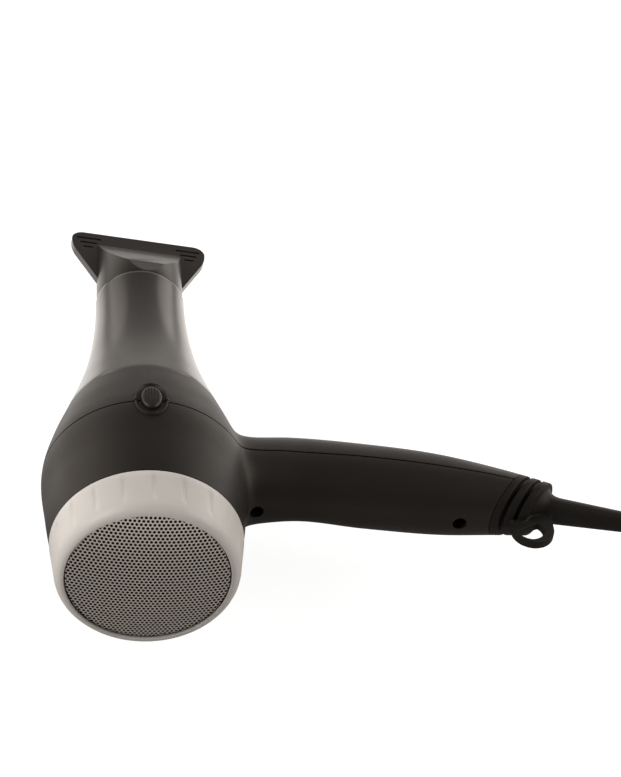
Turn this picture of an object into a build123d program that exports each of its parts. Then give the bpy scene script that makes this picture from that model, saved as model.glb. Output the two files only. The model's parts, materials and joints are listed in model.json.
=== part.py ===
from build123d import *
import math
import os

# Hair dryer lying on its side: barrel along +Y, handle along +X, resting height along +Z.
# Pieces are drawn about the barrel axis, with y = 0 at the cap's grille rim, and moved to the
# resting frame when they are written. Millimetres.

# Body of revolution: outer radius at each station along the barrel
cap_front_y = 21.0
cap_gap = 0.4
housing_rear_y = cap_front_y + cap_gap
seam_y = 63.0
barrel_rear_y = 98.6
barrel_front_y = 195.2
housing_rear_r = 42.4
housing_mid_y = 42.0
housing_mid_r = 45.0
body_r = 46.5
shoulder_y = 80.0
shoulder_r = 43.0
barrel_rear_r = 37.4
waist_y = 116.0
waist_r = 32.2
taper_y = 136.0
taper_r = 27.3
throat_y = 162.0
throat_r = 23.5
outlet_r = 21.9
wall = 2.4
part_gap = 0.1
swivel_gap = 0.3

# Handle: half depth along Y and half thickness along Z at each station along X, on a centre line
# that leans back towards the end
neck_x = 34.0
handle_root = (26.0, 62.5, 25.0, 26.0)
handle_neck = (46.0, 64.6, 21.8, 19.4)
handle_upper = (66.0, 67.0, 22.0, 16.7)
handle_grip = (100.0, 63.7, 21.4, 17.8)
handle_lower = (136.0, 59.3, 19.8, 17.2)
handle_end = (162.0, 55.6, 15.1, 15.4)
relief_head_end = (188.0, 50.6, 11.0, 12.0)
end_x = 166.5
end_y = 54.8
end_slant = 38.0
end_lean = 11.5
end_wall = 3.0
seam_end_slope = -0.2

# Rear cap, grille and filter
cap_lip_y = -1.5
cap_lip_r = 37.0
cap_lip_h = 1.2
cap_lip_round = 4.5
cap_bevel_y = 3.0
cap_bevel_r = 40.4
cap_front_r = 42.6
cap_wall = 2.2
notch_count = 20
notch_l = 11.0
notch_w = 1.4
notch_depth = 0.5
grille_r = 36.4
grille_dome = 5.0
grille_sheet = 0.8
grille_pitch = 4.1
grille_hole_d = 2.7
grille_border = 2.4
filter_r = 35.6
filter_thick = 2.5
filter_ring_w = 2.6
filter_ring_h = 3.0
spigot_r = 39.2
spigot_wall = 2.0
spigot_rear_y = 8.5
lug_count = 3
lug_angle = 8.0
lug_y = 13.0
lug_h = 3.2
lug_depth = 1.7
twist_angle = 25.0
lug_gap = 0.4
spigot_gap = 1.0

# Motor, fan and duct
duct_r = 33.0
duct_wall = 2.0
duct_rear_y = 22.2
duct_front_y = 86.0
duct_flange_h = 2.2
vane_count = 6
vane_thick = 1.8
vane_rear_y = 56.0
vane_front_y = 84.0
motor_r = 18.5
motor_rear_y = 53.0
motor_front_y = 91.0
motor_wall = 1.6
motor_cap_h = 3.0
shaft_r = 2.5
shaft_gap = 0.05
bearing_r = 6.0
bearing_h = 5.0
armature_gap = 1.0
armature_h = 20.0
slot_count = 12
slot_depth = 4.0
slot_w = 1.6
commutator_r = 7.0
commutator_h = 4.0
fan_rear_y = 25.5
fan_front_y = 47.0
fan_hub_r = 11.0
fan_nose = 4.0
fan_tip_gap = 1.0
fan_blades = 9
blade_thick = 1.5
blade_pitch_angle = 38.0
hub_wall = 2.0

# Heater
liner_gap = 0.6
liner_wall = 0.7
liner_rear_y = 108.0
liner_front_y = 178.0
board_thick = 1.0
board_half = 13.0
board_end = 6.0
coil_wire_r = 0.9
coil_turns = 8
coil_seat = 0.15
guard_h = 3.0
guard_offset = 1.0
guard_rim = 1.6
guard_mid_r = 10.0
guard_bar = 1.6
thermostat_x = 7.5
thermostat_l = 8.0
thermostat_w = 7.0
thermostat_h = 4.0
fuse_d = 3.2
mouth_seat = 15.2
mouth_wall = 2.6

# Concentrator: round channel flattened to a thin mouth, with a flat grooved wing on each side
conc_front_y = 250.0
conc_width = 69.0
conc_height = 3.6
conc_wall = 1.6
conc_lip_wall = 0.9
conc_slot_w = 54.0
conc_turn = 6.5
conc_spigot = 9.0
conc_gap = 0.4
conc_collar_step = 0.5
slope_start_y = 206.4
slope_drop = 2.0
lip_y = 240.4
wing_root_y = 209.0
wing_root_half = 20.2
wing_tip_y = 238.4
wing_bow = 23.0
wing_corner = 6.0
groove_start_y = 245.2
groove_pitch = 3.7
groove_w = 1.3
groove_cut = 0.4
groove_in_x = 19.3
groove_in_step = 2.1
groove_out_x = 32.1
groove_out_step = 1.65

# Oval cool button in its dished collar on the seam
button_y = 63.9
button_half_w = 4.6
button_half_l = 7.2
button_proud = 2.3
button_edge = 1.2
button_travel = 2.0
button_flange = 1.2
button_flange_h = 0.8
button_stem_r = 1.6
button_gap = 0.35
collar_half_w = 7.4
collar_half_l = 10.9
collar_proud = 0.7
collar_rim = 1.2
collar_dish = 0.8
collar_under = 1.7
spring_r = 2.9
spring_wire_r = 0.35
spring_turns = 3
cool_switch_l = 10.0
cool_switch_w = 7.0
cool_switch_h = 3.0

# Rocker switches on the front face of the handle
bezel_x = 92.0
bezel_l = 50.0
bezel_w = 12.2
bezel_t = 3.2
bezel_proud = 0.2
bezel_corner = 3.0
rocker_pitch = 23.0
rocker_l = 16.0
rocker_w = 6.4
rocker_proud = 1.8
rocker_dish = 1.6
rocker_drop = 2.0
pivot_depth = 4.8
rocker_tilt = 8.0
rocker_gap = 0.5
rocker_end_gap = 1.0
pivot_r = 1.2
pivot_gap = 0.08
switch_depth = 14.0
switch_wall = 1.6

# Handle screws
screw_x = (49.5, 141.5)
screw_head_r = 2.8
screw_head_h = 2.2
screw_shank_r = 1.25
screw_shank_l = 14.0
screw_slot_l = 3.4
screw_slot_w = 0.9
screw_gap = 0.05
bore_r = 3.2
boss_wall = 1.4
boss_floor = 3.0

# Terminal block and wires in the handle
terminal_x = 128.0
terminal_l = 12.0
terminal_h = 16.0
wire_r = 1.3
wire_l = 20.0
wire_spread = 7.5
motor_wire_bend = 4.0
motor_wire_points = [(74.0, 68.0), (47.0, 68.0), (38.6, 78.0), (36.4, 87.5), (26.0, 98.0)]

# Strain relief and hanging loop
ridge_h = 3.1
groove_h = 1.7
groove_depth = 2.2
ridge_count = 3
relief_neck_r = 7.0
relief_flange_h = 2.4
sleeve_r = 7.3
sleeve_tip_r = 4.6
sleeve_end = 56.0
cone_l = 5.2
cone_top = 0.8
cone_waist = 2.6
loop_x = 174.6
loop_y = 36.4
loop_r = 9.8
loop_thick = 4.0
loop_root_y = 45.0
loop_hole_x = 173.4
loop_hole_y = 35.2
loop_hole_r = 6.0
loop_hole_lean = 29.0
loop_hole_flat = 1.8

# Cord, coil, tie and plug, in the resting frame with the surface at z = 0
cord_d = 7.2
cord_gap = 0.7
coil_x = 300.0
coil_y = -66.0
coil_out_r = 50.0
coil_layers = 4
coil_turn_count = 10.25
coil_z = 4.8
tie_width = 11.0
tie_thick = 0.8
tie_gap = 0.4
tie_angle = 140.0
plug_body_l = 34.0
plug_body_w = 35.0
plug_body_h = 25.0
plug_tail_l = 22.0
plug_tail_r = 5.6
plug_tail_tip_r = 4.6
plug_shoulder = 10.0
plug_corner = 10.0
plug_z = 13.0
pin_r = 2.4
pin_l = 19.0
pin_spacing = 19.0
pin_tip = 1.2

profile = [
    (housing_rear_r, housing_rear_y),
    (housing_mid_r, housing_mid_y),
    (body_r, seam_y),
    (shoulder_r, shoulder_y),
    (barrel_rear_r, barrel_rear_y),
    (waist_r, waist_y),
    (taper_r, taper_y),
    (throat_r, throat_y),
    (outlet_r, barrel_front_y),
]
handle_stations = [
    handle_root, handle_neck, handle_upper, handle_grip, handle_lower, handle_end, relief_head_end,
]
big = 400.0
past = 1.0


def turned(points):
    """Solid of revolution about the barrel axis from (radius, y) corners."""
    return revolve(make_face(Polyline(*points, close=True)), Axis.Y)


def disc(r, y0, y1):
    return turned([(0, y0), (r, y0), (r, y1), (0, y1)])


def ring(r_out, r_in, y0, y1):
    return turned([(r_in, y0), (r_out, y0), (r_out, y1), (r_in, y1)])


def sector(r_out, r_in, y0, y1, start, angle):
    """Part of a ring about the barrel axis, from an angle measured off +X towards -Z."""
    face = make_face(Polyline((r_in, y0), (r_out, y0), (r_out, y1), (r_in, y1), close=True))
    return revolve(face, Axis.Y, angle).rotate(Axis.Y, start)


def slab(y0, y1):
    return Pos(0, (y0 + y1) / 2, 0) * Box(big, y1 - y0, big)


def revolved_body(inset):
    """Solid inside the body's outer surface, moved in by an inset."""
    outline = Spline(*[(r - inset, y) for r, y in profile])
    rear = (0, housing_rear_y)
    front = (0, barrel_front_y)
    first = (housing_rear_r - inset, housing_rear_y)
    last = (outlet_r - inset, barrel_front_y)
    closing = Polyline(last, front, rear, first)
    return revolve(make_face([outline, closing]), Axis.Y)


# Resting frame: the floor touches the body, and the origin is under the middle of the object
grille_seat_y = cap_lip_y + cap_lip_h
grille_rim_y = grille_seat_y + 2 * part_gap
floor_r = revolved_body(0).bounding_box().max.X
lean = math.radians(end_lean)
handle_tip_x = end_x + sleeve_end * math.cos(lean)
handle_tip_y = end_y - sleeve_end * math.sin(lean)
x_shift = -(handle_tip_x + sleeve_tip_r * math.sin(lean) - floor_r) / 2
y_shift = -(conc_front_y + grille_rim_y - grille_dome) / 2
rest = Location((x_shift, y_shift, floor_r))


def write(name, shape):
    """Write one piece, moved to the resting frame."""
    export_step(shape.moved(rest), f"parts/{name}.step")


def write_free(name, shape):
    """Write one piece that is already drawn in the resting frame."""
    export_step(shape, f"parts/{name}.step")


def body_band(inset_out, inset_in, y0, y1):
    return (revolved_body(inset_out) - revolved_body(inset_in)) & slab(y0, y1)


def handle_loft(inset):
    faces = []
    for x, y, depth, thick in handle_stations:
        plane = Plane(origin=(x, y, 0), x_dir=(0, 1, 0), z_dir=(1, 0, 0))
        faces.append(plane * Ellipse(depth - inset, thick - inset))
    return loft(faces)


end_plane = Plane(
    origin=(end_x, end_y, 0),
    x_dir=(0, 0, 1),
    z_dir=(math.cos(math.radians(end_slant)), -math.sin(math.radians(end_slant)), 0),
)
lean_plane = Plane(
    origin=(end_x, end_y, 0),
    x_dir=(0, 0, 1),
    z_dir=(math.cos(lean), -math.sin(lean), 0),
)


def end_slab(start, stop):
    """Slab parallel to the handle's slanted end, from one distance to another past it."""
    return end_plane * Pos(0, 0, (start + stop) / 2) * Box(big, big, stop - start)


def seam_height(x):
    """Centre line of the handle at x, which the parting seam follows."""
    for (x0, y0, _, _), (x1, y1, _, _) in zip(handle_stations, handle_stations[1:]):
        if x <= x1:
            return y0 + (y1 - y0) * (x - x0) / (x1 - x0)
    return handle_stations[-1][1]


def front_side():
    """Space on the nozzle side of the parting seam."""
    start = (neck_x, seam_y)
    handle_points = [(x, y) for x, y, _, _ in handle_stations[2:]]
    curve = Spline(start, *handle_points, tangents=[(1, 0), (1, seam_end_slope)])
    last_x, last_y = handle_points[-1]
    far = (big, last_y + (big - last_x) * seam_end_slope)
    frame = Polyline((last_x, last_y), far, (big, big), (-big, big), (-big, seam_y), start)
    return extrude(make_face([curve, frame]), big / 2, both=True)


def bezel_plane():
    """Plane on the front face of the handle at the switches, with its Z pointing out."""
    x0, y0, depth0, _ = handle_upper
    x1, y1, depth1, _ = handle_lower
    slope = ((y1 + depth1) - (y0 + depth0)) / (x1 - x0)
    y = y0 + depth0 + slope * (bezel_x - x0)
    return Plane(origin=(bezel_x, y, 0), x_dir=(1, slope, 0), z_dir=(-slope, 1, 0))


def along_y(x, z, r, y0, y1):
    """Cylinder parallel to the barrel."""
    return Pos(x, (y0 + y1) / 2, z) * Rot(90, 0, 0) * Cylinder(r, y1 - y0)


def upright(r, z0, z1):
    """Cylinder on the button's axis."""
    return Pos(0, button_y, (z0 + z1) / 2) * Cylinder(r, z1 - z0)


def button_post(half_w, half_l, z0, z1):
    """Oval post on the button's axis."""
    return extrude(Pos(0, button_y, z0) * Ellipse(half_w, half_l), z1 - z0)


# Housing: one hollow shell, parted along the seam
mouth_rear_y = barrel_front_y - mouth_seat
mouth_bore_r = outlet_r - mouth_wall
spigot_in_r = spigot_r - spigot_wall
lug_margin = math.degrees(lug_gap / spigot_r)
lug_starts = [k * 360 / lug_count for k in range(lug_count)]
collar_top_z = body_r + collar_proud
boss_under_z = body_r - wall - collar_under
front_axis = bezel_plane()
rocker_xs = (-rocker_pitch / 2, rocker_pitch / 2)
rocker_hole_l = rocker_l + 2 * rocker_end_gap
rocker_hole_w = rocker_w + 2 * rocker_gap
switch_half_l = rocker_hole_l / 2 + switch_wall
switch_half_w = rocker_hole_w / 2 + switch_wall
opening_l = rocker_pitch + 2 * switch_half_l + 2 * part_gap
opening_w = 2 * switch_half_w + 2 * part_gap


def housing_shell():
    outer = revolved_body(0) & slab(housing_rear_y, barrel_rear_y)
    outer += handle_loft(0) & end_slab(-big / 2, 0)
    shell = outer - (revolved_body(wall) & slab(housing_rear_y - wall, barrel_rear_y + wall))
    shell -= handle_loft(wall) & end_slab(-big / 2, -end_wall)
    # Spigot for the cap, with bayonet slots
    spigot = ring(spigot_r, spigot_in_r, spigot_rear_y, housing_rear_y + wall)
    spigot += ring(housing_rear_r - wall / 2, spigot_in_r, housing_rear_y, housing_rear_y + wall)
    for start in lug_starts:
        run = lug_angle + twist_angle + 2 * lug_margin
        y0 = lug_y - lug_gap
        y1 = lug_y + lug_h + lug_gap
        spigot -= sector(spigot_r + past, spigot_in_r - past, y0, y1, start - lug_margin, run)
        entry = start + twist_angle - lug_margin
        width = lug_angle + 2 * lug_margin
        spigot -= sector(spigot_r + past, spigot_in_r - past, spigot_rear_y - past, y1, entry, width)
    shell += spigot
    # Dished collar round the cool button
    shell += button_post(collar_half_w, collar_half_l, boss_under_z, collar_top_z)
    dish_w = collar_half_w - collar_rim
    shell -= button_post(dish_w, collar_half_l - collar_rim, collar_top_z - collar_dish, collar_top_z + past)
    hole_w = button_half_w + button_gap
    shell -= button_post(hole_w, button_half_l + button_gap, boss_under_z - past, collar_top_z)
    # Screw bosses from the rear face of the handle to its front wall
    for x in screw_x:
        seam = seam_height(x)
        shell += along_y(x, 0, bore_r + boss_wall, seam - big / 4, seam + big / 4) & outer
        shell -= along_y(x, 0, bore_r, seam - big / 4, seam - boss_floor)
        shell -= along_y(x, 0, screw_shank_r + screw_gap, seam - boss_floor - past, seam + screw_shank_l)
    # Pocket and ledge for the switch bezel
    pad = front_axis * Pos(0, 0, -bezel_t - wall / 2) * Box(bezel_l + wall, bezel_w + wall, wall)
    shell += pad & handle_loft(part_gap)
    pocket_l = bezel_l + 2 * part_gap
    pocket_w = bezel_w + 2 * part_gap
    shell -= front_axis * Pos(0, 0, bezel_w / 2 - bezel_t) * Box(pocket_l, pocket_w, bezel_w)
    shell -= front_axis * Pos(0, 0, -bezel_t - wall) * Box(opening_l, opening_w, 3 * wall)
    # Hole for the strain relief's neck
    shell -= lean_plane * Cylinder(relief_neck_r + part_gap, big / 10)
    return shell


def front_barrel():
    barrel = body_band(0, wall, barrel_rear_y, barrel_front_y)
    mouth = revolved_body(0) & slab(mouth_rear_y, barrel_front_y)
    barrel += mouth - disc(mouth_bore_r, mouth_rear_y - past, barrel_front_y + past)
    tongue = body_band(wall + part_gap, 2 * wall, barrel_rear_y - 2 * wall, barrel_rear_y)
    root = body_band(wall / 2, 2 * wall, barrel_rear_y, barrel_rear_y + wall)
    return barrel + tongue + root


def rear_cap():
    seat_r = grille_r + part_gap
    inner_r = spigot_r + lug_gap
    lip_in_r = grille_r - cap_gap
    step_y = spigot_rear_y - spigot_gap
    bevel = (cap_bevel_r, cap_bevel_y)
    lip = (cap_lip_r, cap_lip_y)
    round_edge = RadiusArc(bevel, lip, cap_lip_round)
    sides = Polyline(
        lip,
        (lip_in_r, cap_lip_y),
        (lip_in_r, grille_seat_y),
        (seat_r, grille_seat_y),
        (seat_r, step_y),
        (inner_r, step_y),
        (inner_r, cap_front_y),
        (cap_front_r, cap_front_y),
        bevel,
    )
    cap = revolve(make_face([round_edge, sides]), Axis.Y)
    for start in lug_starts:
        cap += sector(inner_r + cap_wall / 4, inner_r - lug_depth, lug_y, lug_y + lug_h, start, lug_angle)
    return cap


def grip_notches():
    """Shallow grip notches round the cap, as cutters."""
    mid_y = (cap_front_y + cap_bevel_y) / 2
    mid_r = (cap_front_r + cap_bevel_r) / 2
    tilt = math.degrees(math.atan2(cap_front_r - cap_bevel_r, cap_front_y - cap_bevel_y))
    notch = Pos(mid_r, mid_y, 0) * Rot(0, 0, -tilt) * Box(2 * notch_depth, notch_l, notch_w)
    return [notch.rotate(Axis.Y, k * 360 / notch_count) for k in range(notch_count)]


def dome_line(ball_r, centre_y):
    """Arc of a ball about the barrel axis, from the axis out to the grille's edge."""
    stops = [(r, centre_y - math.sqrt(ball_r**2 - r**2)) for r in (0, grille_r / 2, grille_r)]
    return ThreePointArc(*stops)


def intake_grille():
    ball_r = (grille_r**2 + grille_dome**2) / (2 * grille_dome)
    centre_y = grille_rim_y - grille_dome + ball_r
    outer = dome_line(ball_r, centre_y)
    inner = dome_line(ball_r - grille_sheet, centre_y)
    edges = [outer, Line(outer @ 1, inner @ 1), inner, Line(inner @ 0, outer @ 0)]
    dome = revolve(make_face(edges), Axis.Y)
    rows = int(grille_r / grille_pitch) + 2
    y0 = grille_rim_y - 2 * grille_dome
    y1 = grille_rim_y + grille_dome
    holes = []
    for row in range(-rows, rows + 1):
        for column in range(-rows, rows + 1):
            x = (column + (row % 2) / 2) * grille_pitch
            z = row * grille_pitch * math.sqrt(3) / 2
            if math.hypot(x, z) < grille_r - grille_border:
                holes.append(along_y(x, z, grille_hole_d / 2, y0, y1))
    print("grille holes", len(holes))
    return dome - holes


filter_ring_y = grille_rim_y + grille_sheet + part_gap
filter_y = filter_ring_y + filter_ring_h + part_gap


def filter_ring():
    return ring(grille_r, grille_r - filter_ring_w, filter_ring_y, filter_ring_y + filter_ring_h)


def lint_filter():
    return disc(filter_r, filter_y, filter_y + filter_thick)


def motor_mount():
    duct_out = duct_r + duct_wall
    mount = ring(duct_out, duct_r, duct_rear_y, duct_front_y)
    mount += ring(spigot_in_r - part_gap, duct_r, duct_rear_y, duct_rear_y + duct_flange_h)
    seat_r = motor_r + part_gap
    mount += ring(seat_r + hub_wall, seat_r, vane_rear_y, vane_front_y)
    vane_l = duct_r - seat_r - hub_wall + past
    vane_mid = (duct_r + seat_r + hub_wall) / 2
    vane_y = (vane_rear_y + vane_front_y) / 2
    vane = Pos(vane_mid, vane_y, 0) * Box(vane_l, vane_front_y - vane_rear_y, vane_thick)
    for k in range(vane_count):
        mount += vane.rotate(Axis.Y, k * 360 / vane_count)
    return mount


def motor_can():
    can = ring(motor_r, motor_r - motor_wall, motor_rear_y, motor_front_y - motor_cap_h)
    can += ring(motor_r, bearing_r, motor_rear_y, motor_rear_y + motor_wall)
    return can + ring(bearing_r + motor_wall, bearing_r, motor_rear_y, motor_rear_y + bearing_h)


def motor_end_cap():
    cap = ring(motor_r, bearing_r, motor_front_y - motor_cap_h, motor_front_y)
    return cap + ring(bearing_r + motor_wall, bearing_r, motor_front_y - bearing_h, motor_front_y)


def bearing(y0):
    return ring(bearing_r - shaft_gap, shaft_r + shaft_gap, y0, y0 + bearing_h)


def armature():
    mid = (motor_rear_y + motor_front_y) / 2
    front = mid + armature_h / 2
    core_r = motor_r - motor_wall - armature_gap
    core = ring(core_r, shaft_r, mid - armature_h / 2, front)
    slot = Pos(core_r, mid, 0) * Box(slot_depth * 2, armature_h, slot_w)
    slots = [slot.rotate(Axis.Y, k * 360 / slot_count) for k in range(slot_count)]
    commutator = ring(commutator_r, shaft_r, front, front + commutator_h)
    return (core - slots) + commutator


def fan_impeller():
    tip_r = duct_r - fan_tip_gap
    hub = ring(fan_hub_r, shaft_r, fan_rear_y, fan_front_y)
    nose_y = fan_rear_y - fan_nose
    nose = [(shaft_r, fan_rear_y), (fan_hub_r, fan_rear_y), (fan_hub_r / 2, nose_y), (shaft_r, nose_y)]
    hub += turned(nose)
    mid_y = (fan_rear_y + fan_front_y) / 2
    chord = (fan_front_y - fan_rear_y) / math.cos(math.radians(blade_pitch_angle))
    blade = Pos(tip_r / 2, mid_y, 0) * Rot(blade_pitch_angle, 0, 0) * Box(2 * tip_r, chord, blade_thick)
    blade &= ring(tip_r, fan_hub_r - past, fan_rear_y + past, fan_front_y - past)
    blade &= Pos(tip_r / 2, mid_y, 0) * Box(tip_r, big, big)
    for k in range(fan_blades):
        hub += blade.rotate(Axis.Y, k * 360 / fan_blades)
    return hub


liner_in = wall + liner_gap + liner_wall


def mica_liner():
    return body_band(wall + liner_gap, liner_in, liner_rear_y, liner_front_y)


def heater_board(turn, slot_rear, slot_front):
    """One mica board of the heater cross, with a slot along half its length."""
    mid_y = (liner_rear_y + liner_front_y) / 2
    length = liner_front_y - liner_rear_y
    plate = Pos(0, mid_y, 0) * Box(big, length, board_thick)
    board = Pos(0, mid_y, 0) * Box(2 * board_half, length, board_thick)
    room = revolved_body(liner_in + part_gap) & plate
    board += room & slab(liner_rear_y, liner_rear_y + board_end)
    board += room & slab(liner_front_y - board_end, liner_front_y)
    lap_w = board_thick + 2 * part_gap
    board -= Pos(0, (slot_rear + slot_front) / 2, 0) * Box(lap_w, slot_front - slot_rear, big)
    return board.rotate(Axis.Y, turn)


def heater_coil():
    rear = liner_rear_y + 2 * board_end
    height = liner_front_y - 2 * board_end - rear
    helix = Helix(height / coil_turns, height, board_half + coil_wire_r + coil_seat)
    wire = sweep(Plane(origin=helix @ 0, z_dir=helix % 0) * Circle(coil_wire_r), path=helix, is_frenet=True)
    return Pos(0, rear, 0) * Rot(-90, 0, 0) * wire


def on_board(x, length, width, height):
    """Block that sits on the flat face of the first heater board, near its rear end."""
    y = liner_rear_y + board_end
    return Pos(x, y, board_thick / 2 + part_gap + height / 2) * Box(width, length, height)


def outlet_guard():
    y0 = mouth_rear_y + guard_offset
    y1 = y0 + guard_h
    rim_r = mouth_bore_r - part_gap
    guard = ring(rim_r, rim_r - guard_rim, y0, y1)
    guard += ring(guard_mid_r, guard_mid_r - guard_bar, y0, y1)
    bar = Pos(0, (y0 + y1) / 2, 0) * Box(2 * rim_r - guard_rim, guard_h, guard_bar)
    return guard + bar.rotate(Axis.Y, 45) + bar.rotate(Axis.Y, 135)


def section(x, y, z, width, height, corner):
    """Rounded rectangle square to the barrel axis, wide along X."""
    plane = Plane(origin=(x, y, z), x_dir=(1, 0, 0), z_dir=(0, 1, 0))
    return plane * RectangleRounded(width, height, corner)


def wing_plan(root_half, tip_half):
    """Plan of the concentrator's two wings."""
    return make_face(Polyline(
        (-root_half, wing_root_y), (root_half, wing_root_y), (tip_half, wing_tip_y),
        (tip_half, conc_front_y), (-tip_half, conc_front_y), (-tip_half, wing_tip_y), close=True,
    ))


def nozzle_form(r, half_h, rear_y, wings):
    """Round channel that slopes down to the flat mouth, joined to the wings."""
    side = [(rear_y, r + part_gap), (slope_start_y, r - slope_drop), (lip_y, half_h), (conc_front_y, half_h)]
    under = [(y, -z) for y, z in reversed(side)]
    wedge = extrude(Plane.YZ * make_face(Polyline(*side, *under, close=True)), 2 * r, both=True)
    return (disc(r, rear_y, conc_front_y) & wedge) + extrude(wings, half_h, both=True)


def wing_grooves():
    """Grip grooves across both wings, above and below, as cutters."""
    cutters = []
    for k in range(3):
        start = groove_in_x + k * groove_in_step
        stop = groove_out_x - k * groove_out_step
        y = groove_start_y - k * groove_pitch
        groove = Box(stop - start, groove_w, 2 * groove_cut)
        for x in (-1, 1):
            for z in (-1, 1):
                cutters.append(Pos(x * (start + stop) / 2, y, z * conc_height / 2) * groove)
    return cutters


def concentrator():
    rear_y = barrel_front_y + conc_gap
    r = outlet_r - conc_collar_step
    half_h = conc_height / 2
    plan = wing_plan(wing_root_half, conc_width / 2)
    corners = plan.vertices().sort_by(Axis.Y)
    plan = fillet(corners[-2:], wing_corner)
    bows = [v for v in plan.vertices() if abs(v.Y - wing_tip_y) < part_gap]
    plan = fillet(bows, wing_bow)
    slot = wing_plan(wing_root_half - conc_wall, conc_slot_w / 2)
    piece = nozzle_form(r, half_h, rear_y, plan)
    piece -= nozzle_form(r - conc_wall, half_h - conc_lip_wall, rear_y + conc_wall, slot)
    spigot_out = mouth_bore_r - swivel_gap
    bore = spigot_out - conc_wall
    piece += ring(spigot_out, bore, barrel_front_y - conc_spigot, rear_y)
    piece -= disc(bore, barrel_front_y - conc_spigot, rear_y + 2 * conc_wall)
    piece -= wing_grooves()
    return piece.rotate(Axis.Y, conc_turn)


# Cool button: flange under the wall, spring and switch below it
flange_top_z = boss_under_z - part_gap
flange_z = flange_top_z - button_flange_h
switch_z = duct_r + duct_wall + part_gap
switch_top_z = switch_z + cool_switch_h


def cool_button():
    top = collar_top_z + button_proud - collar_dish
    cap = button_post(button_half_w, button_half_l, flange_top_z - part_gap, top)
    cap = fillet(cap.faces().sort_by(Axis.Z)[-1].edges(), button_edge)
    flange_w = button_half_w + button_flange
    flange = button_post(flange_w, button_half_l + button_flange, flange_z, flange_top_z)
    stem_z = switch_top_z + button_travel + part_gap
    return cap + flange + upright(button_stem_r, stem_z, flange_z)


def cool_spring():
    start = switch_top_z + spring_wire_r + part_gap / 2
    height = flange_z - spring_wire_r - part_gap / 2 - start
    helix = Helix(height / spring_turns, height, spring_r)
    ring_face = Plane(origin=helix @ 0, z_dir=helix % 0) * Circle(spring_wire_r)
    wire = sweep(ring_face, path=helix, is_frenet=True)
    return Pos(0, button_y, start) * wire


def cool_switch():
    return Pos(0, button_y, switch_z + cool_switch_h / 2) * Box(cool_switch_l, cool_switch_w, cool_switch_h)


# Rockers, their bezel and switch bodies, drawn on the front face of the handle
def switch_bezel():
    plate = Pos(0, 0, (bezel_proud - bezel_t) / 2) * Box(bezel_l, bezel_w, bezel_t + bezel_proud)
    plate = fillet(plate.edges().filter_by(Axis.Z), bezel_corner)
    for x in rocker_xs:
        plate -= Pos(x, 0, 0) * Box(rocker_hole_l, rocker_hole_w, 4 * bezel_t)
    return front_axis * plate


def rocker(x):
    end = rocker_l / 2
    top = pivot_depth + bezel_proud + rocker_proud
    foot = -rocker_drop
    outline = [(-end, foot), (end, foot), (end, top), (0, top - rocker_dish), (-end, top)]
    body = extrude(Plane.XZ * make_face(Polyline(*outline, close=True)), rocker_w / 2, both=True)
    body += Rot(90, 0, 0) * Cylinder(pivot_r, rocker_hole_w + switch_wall)
    return front_axis * Pos(x, 0, -pivot_depth) * body


def switch_body(x):
    top = -bezel_t
    block = Pos(0, 0, top - switch_depth / 2) * Box(2 * switch_half_l, 2 * switch_half_w, switch_depth)
    swing = rocker_l / 2 * math.sin(math.radians(rocker_tilt))
    floor = -pivot_depth - rocker_drop - swing - rocker_gap
    block -= Pos(0, 0, (floor + top) / 2) * Box(rocker_hole_l, rocker_hole_w, top - floor)
    block -= Pos(0, 0, -pivot_depth) * Rot(90, 0, 0) * Cylinder(pivot_r + pivot_gap, 4 * switch_half_w)
    return front_axis * Pos(x, 0, 0) * block


def handle_screws():
    screws = []
    for x in screw_x:
        floor = seam_height(x) - boss_floor
        head = along_y(x, 0, screw_head_r, floor - screw_head_h, floor)
        cross = Box(screw_slot_l, screw_head_h, screw_slot_w) + Box(screw_slot_w, screw_head_h, screw_slot_l)
        head -= Pos(x, floor - screw_head_h, 0) * cross
        screws.append(head + along_y(x, 0, screw_shank_r, floor, floor + screw_shank_l))
    return Compound(children=screws)


def terminal_block():
    y = seam_height(terminal_x)
    block = Pos(terminal_x, y - terminal_h / 2, 0) * Box(terminal_l, terminal_h, big)
    return block & handle_loft(wall + part_gap)


def lead_wires():
    mid_x = terminal_x + terminal_l / 2 + part_gap + wire_l / 2
    y = seam_height(end_x) + wire_r
    tube = Rot(0, 90, 0) * Cylinder(wire_r, wire_l)
    return Compound(children=[Pos(mid_x, y, side * wire_spread) * tube for side in (-1, 1)])


def motor_wires():
    wires = []
    for side in (-1, 1):
        z = side * wire_spread
        path = FilletPolyline(*[(x, y, z) for x, y in motor_wire_points], radius=motor_wire_bend)
        wires.append(sweep(Plane(origin=path @ 0, z_dir=path % 0) * Circle(wire_r), path=path))
    return Compound(children=wires)


def slanted_oval(distance, half_w, half_d):
    """Oval parallel to the handle's slanted end, centred on the sleeve's axis."""
    off_axis = math.tan(math.radians(end_slant - end_lean))
    return end_plane * Pos(0, -distance * off_axis, distance) * Ellipse(half_w, half_d)


def relief_cone(head_h):
    """Hollowed cone from the last ridge to the sleeve."""
    _, _, depth, thick = relief_head_end
    stretch = 1 / math.cos(math.radians(end_slant - end_lean))
    start = slanted_oval(head_h - ridge_h / 2, thick - cone_top, depth * stretch - cone_top)
    waist = slanted_oval(head_h + cone_l / 3, thick - cone_waist, depth * stretch - cone_waist)
    stop = slanted_oval(head_h + cone_l, sleeve_r - cone_top, (sleeve_r - cone_top) * stretch)
    return loft([start, waist, stop])


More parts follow.
